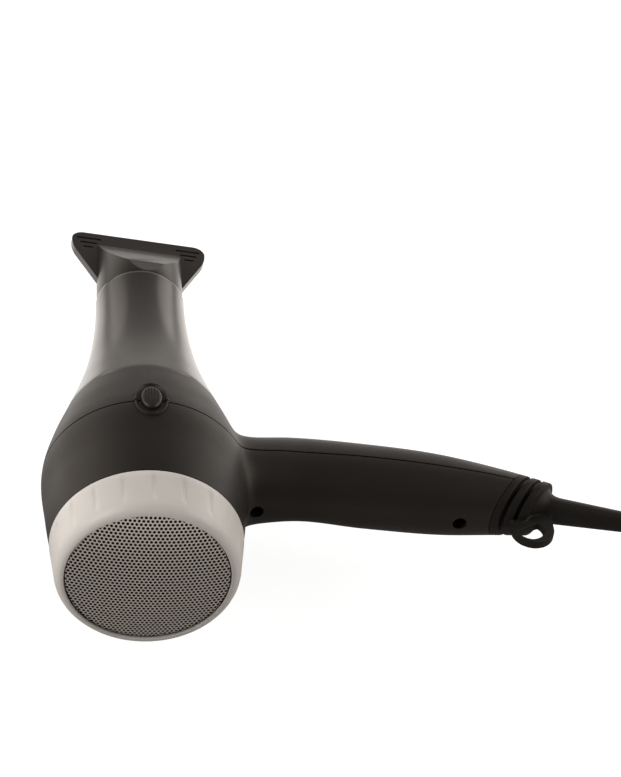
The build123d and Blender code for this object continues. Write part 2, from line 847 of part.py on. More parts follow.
def hanging_loop():
    root_l = loop_root_y - loop_y
    tab = Circle(loop_r) + Pos(0, root_l / 2) * Rectangle(2 * loop_r, root_l)
    flat = Pos(0, loop_hole_r + loop_hole_flat) * Rectangle(4 * loop_hole_r, 2 * loop_hole_r)
    eye = Circle(loop_hole_r) - Rot(0, 0, loop_hole_lean) * flat
    outline = Pos(loop_x, loop_y) * tab - Pos(loop_hole_x, loop_hole_y) * eye
    return extrude(outline, loop_thick / 2, both=True)


def strain_relief():
    head_h = ridge_count * ridge_h + (ridge_count - 1) * groove_h
    head = handle_loft(0) & end_slab(0, head_h)
    core = handle_loft(groove_depth)
    for k in range(ridge_count - 1):
        start = ridge_h + k * (ridge_h + groove_h)
        head -= end_slab(start, start + groove_h) - core
    outline = [(0, 0), (sleeve_r, 0), (sleeve_tip_r, sleeve_end), (0, sleeve_end)]
    sleeve = revolve(make_face(Plane.XZ * Polyline(*outline, close=True)), Axis.Z)
    relief = head + ((lean_plane * sleeve) & end_slab(0, big / 2)) + relief_cone(head_h)
    neck = lean_plane * Cylinder(relief_neck_r, big / 10)
    relief += neck & end_slab(-end_wall - part_gap, ridge_h)
    flange_front = -end_wall - part_gap
    relief += handle_loft(wall + 2 * part_gap) & end_slab(flange_front - relief_flange_h, flange_front)
    return relief + (hanging_loop() & end_slab(ridge_h / 2, big / 2))


# Cord: the loose stretch, the coil that holds the rest, and the tail to the plug
cord_r = cord_d / 2
coil_pitch = cord_d + cord_gap
coil_span = coil_turn_count / coil_layers
coil_in_r = coil_out_r - coil_pitch * coil_span
coil_top_z = coil_z + (coil_layers - 1) * coil_pitch
exit_point = (handle_tip_x + x_shift, handle_tip_y + y_shift, floor_r)
coil_start = (coil_x - cord_d, coil_y - coil_out_r, coil_z)
coil_end = (coil_x + coil_out_r, coil_y + cord_d, coil_top_z)
stretch_route = [
    exit_point,
    (157.4, -83.3, 45.8),
    (181.0, -91.0, 39.5),
    (204.0, -99.5, 27.5),
    (226.0, -106.5, 15.0),
    (248.0, -112.5, 7.2),
    (270.5, -115.6, 4.7),
    coil_start,
]
tail_route = [
    coil_end,
    (350.4, -38.0, 28.0),
    (351.5, -17.0, 24.6),
    (353.0, 4.0, 18.4),
    (354.0, 24.0, 14.2),
    (354.0, 40.0, plug_z),
]


def swept_cord(name, path):
    """Cord along a path, with its length and volume printed."""
    tube = sweep(Plane(origin=path @ 0, z_dir=path % 0) * Circle(cord_r), path=path)
    expected = math.pi * cord_r**2 * path.length
    print(name, "length", round(path.length, 1))
    print(name, "volume", round(tube.volume, 1), "section times length", round(expected, 1))
    return tube


def cord_tube(name, route):
    """Cord along straight runs joined by arcs as large as the runs allow."""
    points = [Vector(*p) for p in route]
    radii = []
    for a, b, c in zip(points, points[1:], points[2:]):
        turn = math.radians((b - a).get_angle(c - b))
        radii.append(0.45 * min((b - a).length, (c - b).length) / math.tan(turn / 2))
    print(name, "radii", [round(r) for r in radii])
    return swept_cord(name, FilletPolyline(*points, radius=radii))


def coil_radius(turn):
    """Distance of the coil's centre line from its axis: in, out, in, out at a steady rate."""
    layer, part = divmod(turn / coil_span, 1)
    share = part if int(layer) % 2 == 0 else 1 - part
    return coil_out_r - share * (coil_out_r - coil_in_r)


def coil_height(turn):
    """Height of the coil's centre line: a layer is climbed in the half turn where the spiral reverses."""
    height = coil_z
    for layer in range(1, coil_layers):
        step = min(max((turn - layer * coil_span) * 2 + 0.5, 0), 1)
        height += coil_pitch * step * step * (3 - 2 * step)
    return height


def coil_point(turn):
    angle = 2 * math.pi * turn - math.pi / 2
    r = coil_radius(turn)
    return Vector(coil_x + r * math.cos(angle), coil_y + r * math.sin(angle), coil_height(turn))


def coil_heading(turn):
    if turn <= 0:
        return Vector(1, 0, 0)
    if turn >= coil_turn_count:
        return Vector(0, 1, 0)
    near = 0.002
    return (coil_point(turn + near) - coil_point(turn - near)).normalized()


def biarc(p0, t0, p1, t1):
    """Two arcs that leave one point and reach another along given directions."""
    v = p1 - p0
    t = t0 + t1
    a = 2 * (1 - t0.dot(t1))
    b = 2 * v.dot(t)
    d = (-b + math.sqrt(b * b + 4 * a * v.dot(v))) / (2 * a)
    joint = (p0 + t0 * d + p1 - t1 * d) * 0.5
    first = TangentArc(p0, joint, tangent=t0)
    return [first, TangentArc(joint, p1, tangent=first % 1)]


def cord_coil():
    quarters = int(coil_turn_count * 4)
    turns = [k / 4 for k in range(quarters + 1)]
    edges = [Line(coil_start, coil_point(0))]
    for a, b in zip(turns, turns[1:]):
        edges += biarc(coil_point(a), coil_heading(a), coil_point(b), coil_heading(b))
    edges.append(Line(coil_point(coil_turn_count), coil_end))
    samples = [edge @ (k / 8) for edge in edges for k in range(8)]
    half_turn = 4 * 8
    least = min((p - q).length for k, p in enumerate(samples) for q in samples[k + half_turn:])
    print("coil least gap", round(least - cord_d, 2))
    return swept_cord("coil", Wire(edges))


def cord_tie():
    first = (tie_angle + 90) / 360
    radii = [coil_radius(first + k) for k in range(int(coil_turn_count - first) + 1)]
    inner = math.sqrt((min(radii) - cord_r) ** 2 - (tie_width / 2) ** 2) - tie_gap
    outer = max(radii) + cord_r + tie_gap
    low = coil_z - cord_r - tie_gap
    high = coil_top_z + cord_r + tie_gap
    direction = (math.cos(math.radians(tie_angle)), math.sin(math.radians(tie_angle)), 0)
    plane = Plane(origin=(coil_x, coil_y, 0), x_dir=direction, z_dir=(direction[1], -direction[0], 0))
    mid = ((inner + outer) / 2, (low + high) / 2)
    hole = Pos(*mid) * RectangleRounded(outer - inner, high - low, cord_r)
    strap = offset(hole, tie_thick)
    return extrude(plane * (strap - hole), tie_width / 2, both=True)


plug_x, plug_tail_y, _ = tail_route[-1]
plug_body_y = plug_tail_y + plug_tail_l
plug_face_y = plug_body_y + plug_body_l


def plug_body():
    shoulder = plug_body_y + plug_shoulder
    full = section(plug_x, shoulder, plug_z, plug_body_w, plug_body_h, plug_corner)
    root_d = 2 * plug_tail_r + 2 * part_gap
    root = section(plug_x, plug_body_y, plug_z, root_d, root_d, plug_tail_r)
    tail = Cone(plug_tail_tip_r, plug_tail_r, plug_tail_l)
    tail = Pos(plug_x, plug_tail_y + plug_tail_l / 2, plug_z) * Rot(-90, 0, 0) * tail
    return tail + loft([root, full]) + extrude(full, plug_face_y - shoulder)


def plug_pins():
    pins = []
    for side in (-1, 1):
        pin = along_y(plug_x + side * pin_spacing / 2, plug_z, pin_r, plug_face_y, plug_face_y + pin_l)
        pins.append(fillet(pin.faces().sort_by(Axis.Y)[-1].edges(), pin_tip))
    return Compound(children=pins)


os.makedirs("parts", exist_ok=True)

shell = housing_shell()
front = front_side()
write("front_housing", shell & front)
write("rear_housing", shell - front)
write("front_barrel", front_barrel())
write("rear_cap", rear_cap() - grip_notches())
write("intake_grille", intake_grille())
write("filter_ring", filter_ring())
write("lint_filter", lint_filter())
write("motor_mount", motor_mount())
write("motor_can", motor_can())
write("motor_end_cap", motor_end_cap())
write("rear_bearing", bearing(motor_rear_y))
write("front_bearing", bearing(motor_front_y - bearing_h))
write("armature", armature())
write("motor_shaft", disc(shaft_r - part_gap / 5, fan_rear_y - fan_nose, motor_front_y + motor_cap_h))
write("fan_impeller", fan_impeller())
write("mica_liner", mica_liner())
board_mid_y = (liner_rear_y + liner_front_y) / 2
write("heater_board_a", heater_board(0, board_mid_y, liner_front_y))
write("heater_board_b", heater_board(90, liner_rear_y, board_mid_y))
write("heater_coil", heater_coil())
write("thermostat", on_board(thermostat_x, thermostat_l, thermostat_w, thermostat_h))
write("thermal_fuse", on_board(-thermostat_x, thermostat_l, fuse_d, fuse_d))
write("outlet_guard", outlet_guard())
write("concentrator", concentrator())
write("cool_button", cool_button())
write("cool_spring", cool_spring())
write("cool_switch", cool_switch())
write("switch_bezel", switch_bezel())
for name, x in zip(("heat", "speed"), rocker_xs):
    write(f"{name}_rocker", rocker(x))
    write(f"{name}_switch", switch_body(x))
write("handle_screws", handle_screws())
write("terminal_block", terminal_block())
write("lead_wires", lead_wires())
write("motor_wires", motor_wires())
write("strain_relief", strain_relief())
write_free("cord", cord_tube("cord", stretch_route))
write_free("cord_coil", cord_coil())
write_free("cord_tail", cord_tube("cord tail", tail_route))
write_free("cord_tie", cord_tie())
write_free("plug_body", plug_body())
write_free("plug_pins", plug_pins())
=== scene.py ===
import json
from math import acos, asin, atan2, cos, hypot, pi, radians, sin, sqrt, tan

import bmesh
import bpy
from mathutils import Matrix, Vector


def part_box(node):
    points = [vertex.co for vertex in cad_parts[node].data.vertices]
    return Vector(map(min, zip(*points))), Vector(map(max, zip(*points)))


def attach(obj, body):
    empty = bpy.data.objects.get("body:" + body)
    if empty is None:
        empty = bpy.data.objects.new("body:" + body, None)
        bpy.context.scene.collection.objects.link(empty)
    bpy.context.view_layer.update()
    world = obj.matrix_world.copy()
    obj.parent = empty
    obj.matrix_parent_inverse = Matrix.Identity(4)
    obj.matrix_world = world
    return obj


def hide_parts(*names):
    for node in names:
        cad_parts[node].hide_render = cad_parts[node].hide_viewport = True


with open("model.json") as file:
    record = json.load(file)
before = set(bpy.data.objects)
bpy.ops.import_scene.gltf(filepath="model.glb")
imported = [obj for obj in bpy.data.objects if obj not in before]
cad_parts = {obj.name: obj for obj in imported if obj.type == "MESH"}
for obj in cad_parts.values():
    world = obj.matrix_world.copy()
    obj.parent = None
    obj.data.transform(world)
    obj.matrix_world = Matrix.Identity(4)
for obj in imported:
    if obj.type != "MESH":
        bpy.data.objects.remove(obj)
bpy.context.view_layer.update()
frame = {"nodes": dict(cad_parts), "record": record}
scene = bpy.context.scene
mm = 0.001
X = Vector((1, 0, 0))
Y = Vector((0, 1, 0))
Z = Vector((0, 0, 1))

# Barrel axis: sizes below are in millimetres, with y from the cap's grille rim to the nozzle
barrel_low, barrel_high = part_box("front_barrel")
barrel_front_y = 195.2
axis_foot = (barrel_low + barrel_high) / 2
axis_foot.y = barrel_high.y - barrel_front_y * mm


def at(x, y, z=0.0):
    return axis_foot + Vector((x, y, z)) * mm


# Camera at the photograph's angle
camera_place = at(-55.5, -688.0, 653.4)
camera_right = Vector((0.99099717, -0.07815715, 0.10870171))
camera_up = Vector((-0.03615822, 0.6255035, 0.77938306))
camera_back = Vector((-0.12890766, -0.77629687, 0.61704617))
camera_data = bpy.data.cameras.new("camera")
camera_data.lens = 101.93
camera_data.sensor_width = 36
camera = bpy.data.objects.new("camera", camera_data)
camera.matrix_world = Matrix((camera_right, camera_up, camera_back)).transposed().to_4x4()
camera.matrix_world.translation = camera_place
scene.collection.objects.link(camera)
scene.camera = camera

# Cord: the loose stretch, the tied coil and the tail to the plug, in metres on the solids' own points
cord_d = 7.2 * mm
coil_x = 0.300
coil_y = -0.066
coil_out_r = 0.050
coil_layers = 4
coil_turns = 10.25
coil_pitch = 0.0079
coil_z = 0.0048
coil_points_a_turn = 24
stretch_route = [
    (0.13356, -0.07881, 0.04665), (0.1574, -0.0833, 0.0458), (0.181, -0.091, 0.0395),
    (0.204, -0.0995, 0.0275), (0.226, -0.1065, 0.015), (0.248, -0.1125, 0.0072),
    (0.2705, -0.1156, 0.0047), (0.2928, -0.116, 0.0048),
]
tail_route = [
    (0.350, -0.0588, 0.0285), (0.3504, -0.038, 0.028), (0.3515, -0.017, 0.0246),
    (0.353, 0.004, 0.0184), (0.354, 0.024, 0.0142), (0.354, 0.040, 0.013),
]
coil_span = coil_turns / coil_layers


def coil_radius(turn):
    """In, out, in and out again at a steady rate, one layer each."""
    layer, part = divmod(turn / coil_span, 1)
    share = part if int(layer) % 2 == 0 else 1 - part
    return coil_out_r - share * coil_pitch * coil_span


def coil_height(turn):
    """A layer is climbed in the half turn where the spiral reverses."""
    height = coil_z
    for layer in range(1, coil_layers):
        step = min(max((turn - layer * coil_span) * 2 + 0.5, 0), 1)
        height += coil_pitch * step * step * (3 - 2 * step)
    return height


def coil_point(turn):
    angle = 2 * pi * turn - pi / 2
    r = coil_radius(turn)
    return (coil_x + r * cos(angle), coil_y + r * sin(angle), coil_height(turn))


def make_cord():
    count = int(coil_turns * coil_points_a_turn)
    coil = [coil_point(k / coil_points_a_turn) for k in range(count + 1)]
    route = stretch_route + coil + tail_route
    curve = bpy.data.curves.new("mains_cord", "CURVE")
    curve.dimensions = "3D"
    spline = curve.splines.new("NURBS")
    spline.points.add(len(route) - 1)
    for point, place in zip(spline.points, route):
        point.co = (*place, 1)
    spline.order_u = 3
    spline.use_endpoint_u = True
    curve.resolution_u = 4
    curve.bevel_depth = cord_d / 2
    curve.bevel_resolution = 4
    curve.use_fill_caps = True
    cord = bpy.data.objects.new("mains_cord", curve)
    scene.collection.objects.link(cord)
    return cord


mains_cord = make_cord()


# Modelling by hand: pick a piece, work on it in edit mode, and finish it in place
def leave_edit():
    if bpy.context.mode != "OBJECT":
        bpy.ops.object.mode_set(mode="OBJECT")


def deselect():
    leave_edit()
    bpy.ops.object.select_all(action="DESELECT")


def pick(piece):
    deselect()
    piece.select_set(True)
    bpy.context.view_layer.objects.active = piece


def open_mesh():
    bpy.ops.object.mode_set(mode="EDIT")
    bpy.ops.mesh.select_all(action="SELECT")


def edit(piece):
    pick(piece)
    open_mesh()


def close_mesh():
    """Merge doubles, turn all faces outwards and leave edit mode."""
    bpy.ops.mesh.select_all(action="SELECT")
    bpy.ops.mesh.remove_doubles(threshold=0.005 * mm)
    bpy.ops.mesh.normals_make_consistent()
    leave_edit()


def push(step):
    bpy.ops.mesh.extrude_region_move(TRANSFORM_OT_translate={"value": step})


def loft(stations, **more):
    """Push what is selected through (middle, size) stations, scaled to each size, and close the mesh."""
    for (last, old), (middle, new) in zip(stations, stations[1:]):
        push(middle - last)
        scale = [b / a for a, b in zip(old, new)]
        bpy.ops.transform.resize(value=scale, center_override=middle, **more)
    close_mesh()


def open_new(name):
    """Name the piece that was just added and open it for editing."""
    piece = bpy.context.object
    piece.name = name
    piece.data.name = name
    open_mesh()
    return piece


def draw(name, points):
    """Line of edges through the points, left selected in edit mode."""
    deselect()
    bpy.ops.mesh.primitive_plane_add(size=mm, location=points[0])
    piece = open_new(name)
    bpy.ops.mesh.select_mode(type="VERT")
    bpy.ops.mesh.merge(type="CENTER")
    for a, b in zip(points, points[1:]):
        push(b - a)
    bpy.ops.mesh.select_all(action="SELECT")
    return piece


def start_circle(name, vertices, radius, place, turn, fill="NGON"):
    """Circle with a radius in millimetres, left selected in edit mode."""
    deselect()
    bpy.ops.mesh.primitive_circle_add(
        vertices=vertices, radius=radius * mm, fill_type=fill, location=place, rotation=turn,
    )
    return open_new(name)


def oval_loft(name, vertices, turn, stations, **more):
    """Solid through ovals at (middle, size) stations, with their half widths in millimetres."""
    middle, size = stations[0]
    piece = start_circle(name, vertices, 1, middle, turn)
    bpy.ops.transform.resize(value=size, center_override=middle, **more)
    loft(stations, **more)
    return piece


def placed(foot, across, along, corners):
    """Flat outline in millimetres on two directions from a foot."""
    return [foot + (across * a + along * b) * mm for a, b in corners]


def turned(name, outline, steps, foot=axis_foot, along=Y, across=X):
    """Spin an outline of (radius, distance) corners about an axis. A closed outline ends where it starts."""
    piece = draw(name, placed(foot, across, along, outline))
    bpy.ops.mesh.spin(steps=steps, angle=2 * pi, center=foot, axis=along)
    close_mesh()
    return piece


def prism(name, corners, along):
    """Flat outline filled and pushed along a vector."""
    piece = draw(name, corners)
    bpy.ops.mesh.edge_face_add()
    push(along)
    close_mesh()
    return piece


def work(piece, kind, **settings):
    """Add a modifier with its settings and apply it."""
    pick(piece)
    tool = piece.modifiers.new(kind.lower(), kind)
    for key, value in settings.items():
        setattr(tool, key, value)
    bpy.ops.object.modifier_apply(modifier=tool.name)


def drop(piece):
    mesh = piece.data
    bpy.data.objects.remove(piece)
    bpy.data.meshes.remove(mesh)


def combine(piece, tool, operation):
    work(piece, "BOOLEAN", operation=operation, solver="EXACT", object=tool)
    drop(tool)


def cut(piece, tool):
    combine(piece, tool, "DIFFERENCE")


def soften(piece, width, segments=2, angle=35):
    work(
        piece, "BEVEL", width=width * mm, segments=segments,
        limit_method="ANGLE", angle_limit=radians(angle),
    )


def slice_off(piece, place, normal, fill=True):
    """Cut along a plane and take away what lies on its normal's side."""
    edit(piece)
    bpy.ops.mesh.bisect(
        plane_co=place, plane_no=normal, use_fill=fill, clear_outer=True, threshold=0.001 * mm,
    )
    leave_edit()


def select_faces(piece, test):
    """Select the faces whose centre, in millimetres from the barrel axis, and normal pass a test."""
    edit(piece)
    bpy.ops.mesh.select_mode(type="FACE")
    bpy.ops.mesh.select_all(action="DESELECT")
    mesh = bmesh.from_edit_mesh(piece.data)
    turn = piece.matrix_world
    for face in mesh.faces:
        centre = (turn @ face.calc_center_median() - axis_foot) / mm
        if test(centre, turn.to_3x3() @ face.normal):
            face.select_set(True)
    bmesh.update_edit_mesh(piece.data)


def copy_of(piece, name):
    other = piece.copy()
    other.data = piece.data.copy()
    other.name = name
    scene.collection.objects.link(other)
    return other


def join(first, *others):
    pick(first)
    for piece in others:
        piece.select_set(True)
    bpy.ops.object.join()


def smooth_value(stations, t):
    """Value at t on a smooth line through (t, value) stations, straight on past its ends."""
    steps = [b[0] - a[0] for a, b in zip(stations, stations[1:])]
    rates = [(b[1] - a[1]) / h for a, b, h in zip(stations, stations[1:], steps)]
    pairs = zip(steps, steps[1:], rates, rates[1:])
    slopes = [(h1 * r0 + h0 * r1) / (h1 + h0) for h0, h1, r0, r1 in pairs]
    slopes = [2 * rates[0] - slopes[0], *slopes, 2 * rates[-1] - slopes[-1]]
    k = 0
    while k < len(steps) - 1 and t > stations[k + 1][0]:
        k += 1
    (t0, v0), (t1, v1) = stations[k], stations[k + 1]
    if t < t0:
        return v0 + slopes[k] * (t - t0)
    if t > t1:
        return v1 + slopes[k + 1] * (t - t1)
    h = t1 - t0
    s = (t - t0) / h
    start = (1 + 2 * s) * (1 - s) ** 2 * v0 + s * (1 - s) ** 2 * h * slopes[k]
    stop = s * s * (3 - 2 * s) * v1 + s * s * (s - 1) * h * slopes[k + 1]
    return start + stop


def spread(start, stop, count):
    """Evenly spaced values from start to stop."""
    return [start + (stop - start) * k / (count - 1) for k in range(count)]


# Housing: the body's radius along the barrel, and the handle's sections along its length
body_stations = [
    (21.4, 42.4), (42.0, 45.0), (63.0, 46.5), (80.0, 43.0), (98.6, 37.4),
    (116.0, 32.2), (136.0, 27.3), (162.0, 23.5), (195.2, 21.9),
]
handle_line = [
    (26.0, 62.5), (46.0, 64.6), (66.0, 67.0), (100.0, 63.7), (136.0, 59.3), (162.0, 55.6), (188.0, 50.6),
]
handle_depth = [
    (26.0, 25.0), (46.0, 21.8), (66.0, 22.0), (100.0, 21.4), (136.0, 19.8), (162.0, 15.1), (188.0, 11.0),
]
handle_thick = [
    (26.0, 26.0), (46.0, 19.4), (66.0, 16.7), (100.0, 17.8), (136.0, 17.2), (162.0, 15.4), (188.0, 12.0),
]
seam_line = [(20.0, 63.0), (34.0, 63.0)] + handle_line[2:]
housing_rear_y = 21.4
seam_y = 63.0
seam_gap = 0.8
barrel_rear_y = 98.6
wall = 2.4
end_place = at(166.5, 54.8)
end_slant = radians(38.0)
end_normal = Vector((cos(end_slant), -sin(end_slant), 0))
end_lean = radians(11.5)
lean_axis = Vector((cos(end_lean), -sin(end_lean), 0))


def body_r(y):
    return smooth_value(body_stations, y)


def seam_height(x):
    return seam_y if x < seam_line[0][0] else smooth_value(seam_line, x)


def handle_form(name, inset, x0, x1, count):
    """Handle's solid from oval to oval along its length."""
    stations = []
    for x in spread(x0, x1, count):
        depth = smooth_value(handle_depth, x) - inset
        thick = smooth_value(handle_thick, x) - inset
        stations.append((at(x, smooth_value(handle_line, x)), (1, depth, thick)))
    return oval_loft(name, 80, (0, pi / 2, 0), stations)


# Housing form: body and handle made one, with a soft blend where they meet
junction_min_x = 15
junction_reach = 13
form_rear_y = 10
form_front_y = 112
form_root_x = 26
form_tip_x = 200


def junction_weight(place):
    """How near a point, in millimetres from the barrel axis, lies to where the handle leaves the body."""
    x, y, z = place
    if x < junction_min_x:
        return 0.0
    off_body = abs(hypot(x, z) - body_r(y))
    depth = smooth_value(handle_depth, x)
    thick = smooth_value(handle_thick, x)
    lean = (y - smooth_value(handle_line, x)) / depth
    off_handle = abs(hypot(lean, z / thick) - 1) * min(depth, thick)
    near = 1 - max(off_body, off_handle) / junction_reach
    return min(max(near * 2, 0), 1)


def housing_form():
    outline = [(0, form_rear_y), (body_r(form_rear_y), form_rear_y)]
    outline += [(body_r(y), y) for y in spread(form_rear_y + 4, form_front_y, 50)]
    outline += [(0, form_front_y)]
    form = turned("housing", outline, 160)
    join(form, handle_form("handle", 0, form_root_x, form_tip_x, 42))
    work(form, "REMESH", mode="VOXEL", voxel_size=1.0 * mm)
    blend = form.vertex_groups.new(name="junction")
    for vertex in form.data.vertices:
        weight = junction_weight((form.matrix_world @ vertex.co - axis_foot) / mm)
        if weight > 0:
            blend.add([vertex.index], weight, "REPLACE")
    work(form, "SMOOTH", factor=0.5, iterations=90, vertex_group="junction")
    work(form, "SMOOTH", factor=0.5, iterations=8)
    slice_off(form, at(0, housing_rear_y), -Y)
    slice_off(form, at(0, barrel_rear_y), Y)
    slice_off(form, end_place, end_normal)
    return form


# Oval dished collar and hole for the cool button, screw bores and the switch pocket
button_y = 63.9
button_r = 4.6
button_gap = 0.35
button_stretch = 7.2 / 4.6
collar_stretch = 10.9 / 7.4
collar_outline = [
    (0, 40), (7.7, 40), (7.6, 45.8), (7.5, 46.7), (7.3, 47.1), (7.0, 47.2),
    (6.7, 47.05), (6.45, 46.6), (6.1, 46.3), (0, 46.1),
]
hole_low = 40
hole_high = 52
bore_xs = (49.5, 141.5)
bore_r = 3.2
bore_floor = 3.0
bezel_x = 92.0
bezel_l = 50.0
bezel_w = 12.2
bezel_t = 3.2
bezel_proud = 0.2
bezel_corner = 3.0
bezel_gap = 0.3
switch_opening = (44.4, 10.8)
switch_depth = 14.6
cutter_reach = 12

# Foot, length, outward and sideways directions of the switch bezel on the handle's front face
(upper_x, upper_y), (lower_x, lower_y) = handle_line[2], handle_line[4]
upper_y += handle_depth[2][1]
lower_y += handle_depth[4][1]
bezel_slope = (lower_y - upper_y) / (lower_x - upper_x)
bezel_foot = at(bezel_x, upper_y + bezel_slope * (bezel_x - upper_x))
length_way = Vector((1, bezel_slope, 0)).normalized()
out_way = Vector((-bezel_slope, 1, 0)).normalized()
side_way = out_way.cross(length_way)


def rounded_corners(width, height, corner, steps=6):
    """Corners of a rounded rectangle about the origin, in millimetres."""
    points = []
    for k, (sx, sy) in enumerate(((1, 1), (-1, 1), (-1, -1), (1, -1))):
        cx = sx * (width / 2 - corner)
        cy = sy * (height / 2 - corner)
        for j in range(steps + 1):
            angle = radians(90 * (k + j / steps))
            points.append((cx + corner * cos(angle), cy + corner * sin(angle)))
    return points


def on_bezel(name, corners, start, stop, along=0.0):
    """Prism on the bezel's face from one depth to another, in millimetres outwards."""
    foot = bezel_foot + (length_way * along + out_way * start) * mm
    return prism(name, placed(foot, length_way, side_way, corners), out_way * (stop - start) * mm)


def seam_side(name, gap):
    """Space on the nozzle side of the parting seam."""
    side = 60
    far_x = 230
    far_y = 160
    xs = [-side, 0, 20] + spread(24, far_x, 70)
    edge = [at(x, seam_height(x) + gap, -side) for x in xs]
    corners = edge + [at(far_x, far_y, -side), at(-side, far_y, -side)]
    return prism(name, corners, Z * 2 * side * mm)


def open_up(shell):
    """Take away the faces on the seam and at the body's two ends, and give the wall its thickness."""
    near = 0.05
    body_end_x = 60

    def inner_face(centre, normal):
        if abs(normal.y) > 0.9 and centre.x < body_end_x:
            if abs(centre.y - housing_rear_y) < near or abs(centre.y - barrel_rear_y) < near:
                return True
        on_seam = abs(centre.y - seam_height(centre.x)) < seam_gap / 2 + 0.08
        return on_seam and abs(normal.z) < 0.02 and abs(normal.y) > 0.8

    select_faces(shell, inner_face)
    bpy.ops.mesh.delete(type="FACE")
    close_mesh()
    work(shell, "SOLIDIFY", thickness=wall * mm, offset=-1)


def button_oval(name, outline, stretch):
    """Turned piece on the button's axis, stretched along the barrel."""
    piece = turned(name, outline, 80, at(0, button_y), Z)
    edit(piece)
    bpy.ops.transform.resize(value=(1, stretch, 1), center_override=at(0, button_y))
    leave_edit()
    return piece


def make_shells():
    form = housing_form()
    combine(form, button_oval("collar", collar_outline, collar_stretch), "UNION")
    for x in bore_xs:
        floor = seam_height(x) - bore_floor
        outline = [(0, 0), (bore_r, 0), (bore_r, floor), (0, floor)]
        cut(form, turned("bore", outline, 40, at(x, 0)))
    pocket = rounded_corners(bezel_l + bezel_gap, bezel_w + bezel_gap, bezel_corner)
    cut(form, on_bezel("pocket", pocket, -bezel_t, cutter_reach))
    well = rounded_corners(*switch_opening, 0.6, 2)
    cut(form, on_bezel("well", well, -bezel_t - switch_depth, 0))
    front = copy_of(form, "front_shell")
    rear = form
    rear.name = "rear_shell"
    combine(front, seam_side("front_side", seam_gap / 2), "INTERSECT")
    cut(rear, seam_side("rear_side", -seam_gap / 2))
    hole_r = button_r + button_gap
    hole = [(0, hole_low), (hole_r, hole_low), (hole_r, hole_high), (0, hole_high)]
    for shell in (front, rear):
        open_up(shell)
        cut(shell, button_oval("hole", hole, button_stretch))
    return front, rear


front_shell, rear_shell = make_shells()


# Cap spigot with its bayonet slots, part of the rear shell
spigot_r = 39.2
spigot_in_r = 37.2
spigot_rear_y = 8.5
flange_r = 41.2
flange_rear_y = 21.6
flange_front_y = 23.8
slot_out_r = 40.5
slot_in_r = 34
slot_cuts = ((-1, 35, 12.6, 16.6), (24.2, 9.5, 4, 15))
lug_count = 3


def sector(name, r_out, r_in, y0, y1, start, run, steps):
    """Part of a ring about the barrel axis, over a run of degrees."""
    angles = [radians(start + run * k / steps) for k in range(steps + 1)]
    outer = [at(r_out * cos(a), y0, -r_out * sin(a)) for a in angles]
    inner = [at(r_in * cos(a), y0, -r_in * sin(a)) for a in reversed(angles)]
    return prism(name, outer + inner, Y * (y1 - y0) * mm)


def make_spigot():
    band = [
        (spigot_in_r, spigot_rear_y), (spigot_r, spigot_rear_y), (spigot_r, flange_rear_y),
        (flange_r, flange_rear_y), (flange_r, flange_front_y), (spigot_in_r, flange_front_y),
        (spigot_in_r, spigot_rear_y),
    ]
    spigot = turned("spigot", band, 144)
    for k in range(lug_count):
        for turn, run, y0, y1 in slot_cuts:
            start = k * 360 / lug_count + turn
            cut(spigot, sector("slot", slot_out_r, slot_in_r, y0, y1, start, run, 6))
    return spigot


join(rear_shell, make_spigot())


# Front barrel: one turned shell with a thick mouth, and a tongue inside the housing
mouth_rear_y = 180.0
mouth_bore_r = 19.3
edge_round = 0.6
edge_side = 0.18
edge_step = 0.25
tongue_gap = 0.2


def make_barrel():
    first, *ys = spread(barrel_rear_y + edge_round, barrel_front_y - edge_round, 60)
    rear_y = barrel_rear_y + 0.15
    outer = [(body_r(barrel_rear_y) - edge_round, rear_y), (body_r(first) - edge_side, first - edge_step)]
    outer += [(body_r(y), y) for y in ys]
    front_r = body_r(barrel_front_y)
    front = [
        (front_r - edge_side, barrel_front_y - edge_step), (front_r - edge_round, barrel_front_y),
        (mouth_bore_r + 0.4, barrel_front_y), (mouth_bore_r, barrel_front_y - 0.4),
        (mouth_bore_r, mouth_rear_y), (body_r(mouth_rear_y) - wall, mouth_rear_y),
    ]
    inner = [(body_r(y) - wall, y) for y in spread(mouth_rear_y - 2, 102, 40)]
    root_y = barrel_rear_y + wall
    tongue_y = barrel_rear_y - 2 * wall
    inset = wall + tongue_gap
    tongue = [
        (body_r(root_y) - 2 * wall, root_y), (body_r(tongue_y) - 2 * wall, tongue_y),
        (body_r(tongue_y) - inset, tongue_y), (body_r(barrel_rear_y) - inset, rear_y),
    ]
    outline = outer + front + inner + tongue
    return turned("barrel_shell", outline + outline[:1], 192)


barrel_shell = make_barrel()


# Rear cap: a turned ring with grip notches in its band
notch_count = 20
strips_a_notch = 14
notch_strips = 3
notch_rear_y = 6.4
notch_front_y = 17.6
notch_depth = 0.42
notch_slope = 0.75
band_rear_y = 3.0
band_front_y = 21.0
band_rear_r = 40.4
band_front_r = 42.6
cap_front = [(42.55, 20.5), (42.4, 20.9), (42.1, 21.0), (39.6, 21.0), (39.6, 7.5), (36.5, 7.5)]
cap_seat = [(36.5, -0.3), (36.0, -0.3), (36.0, -1.1), (36.3, -1.5), (37.0, -1.5)]
cap_bevel = [(37.9, -1.1), (38.8, -0.3), (39.6, 0.8), (40.15, 2.0)]
lug_out_r = 40.2
lug_in_r = 37.9
lug_y = 13.0
lug_h = 3.2
lug_run = 8


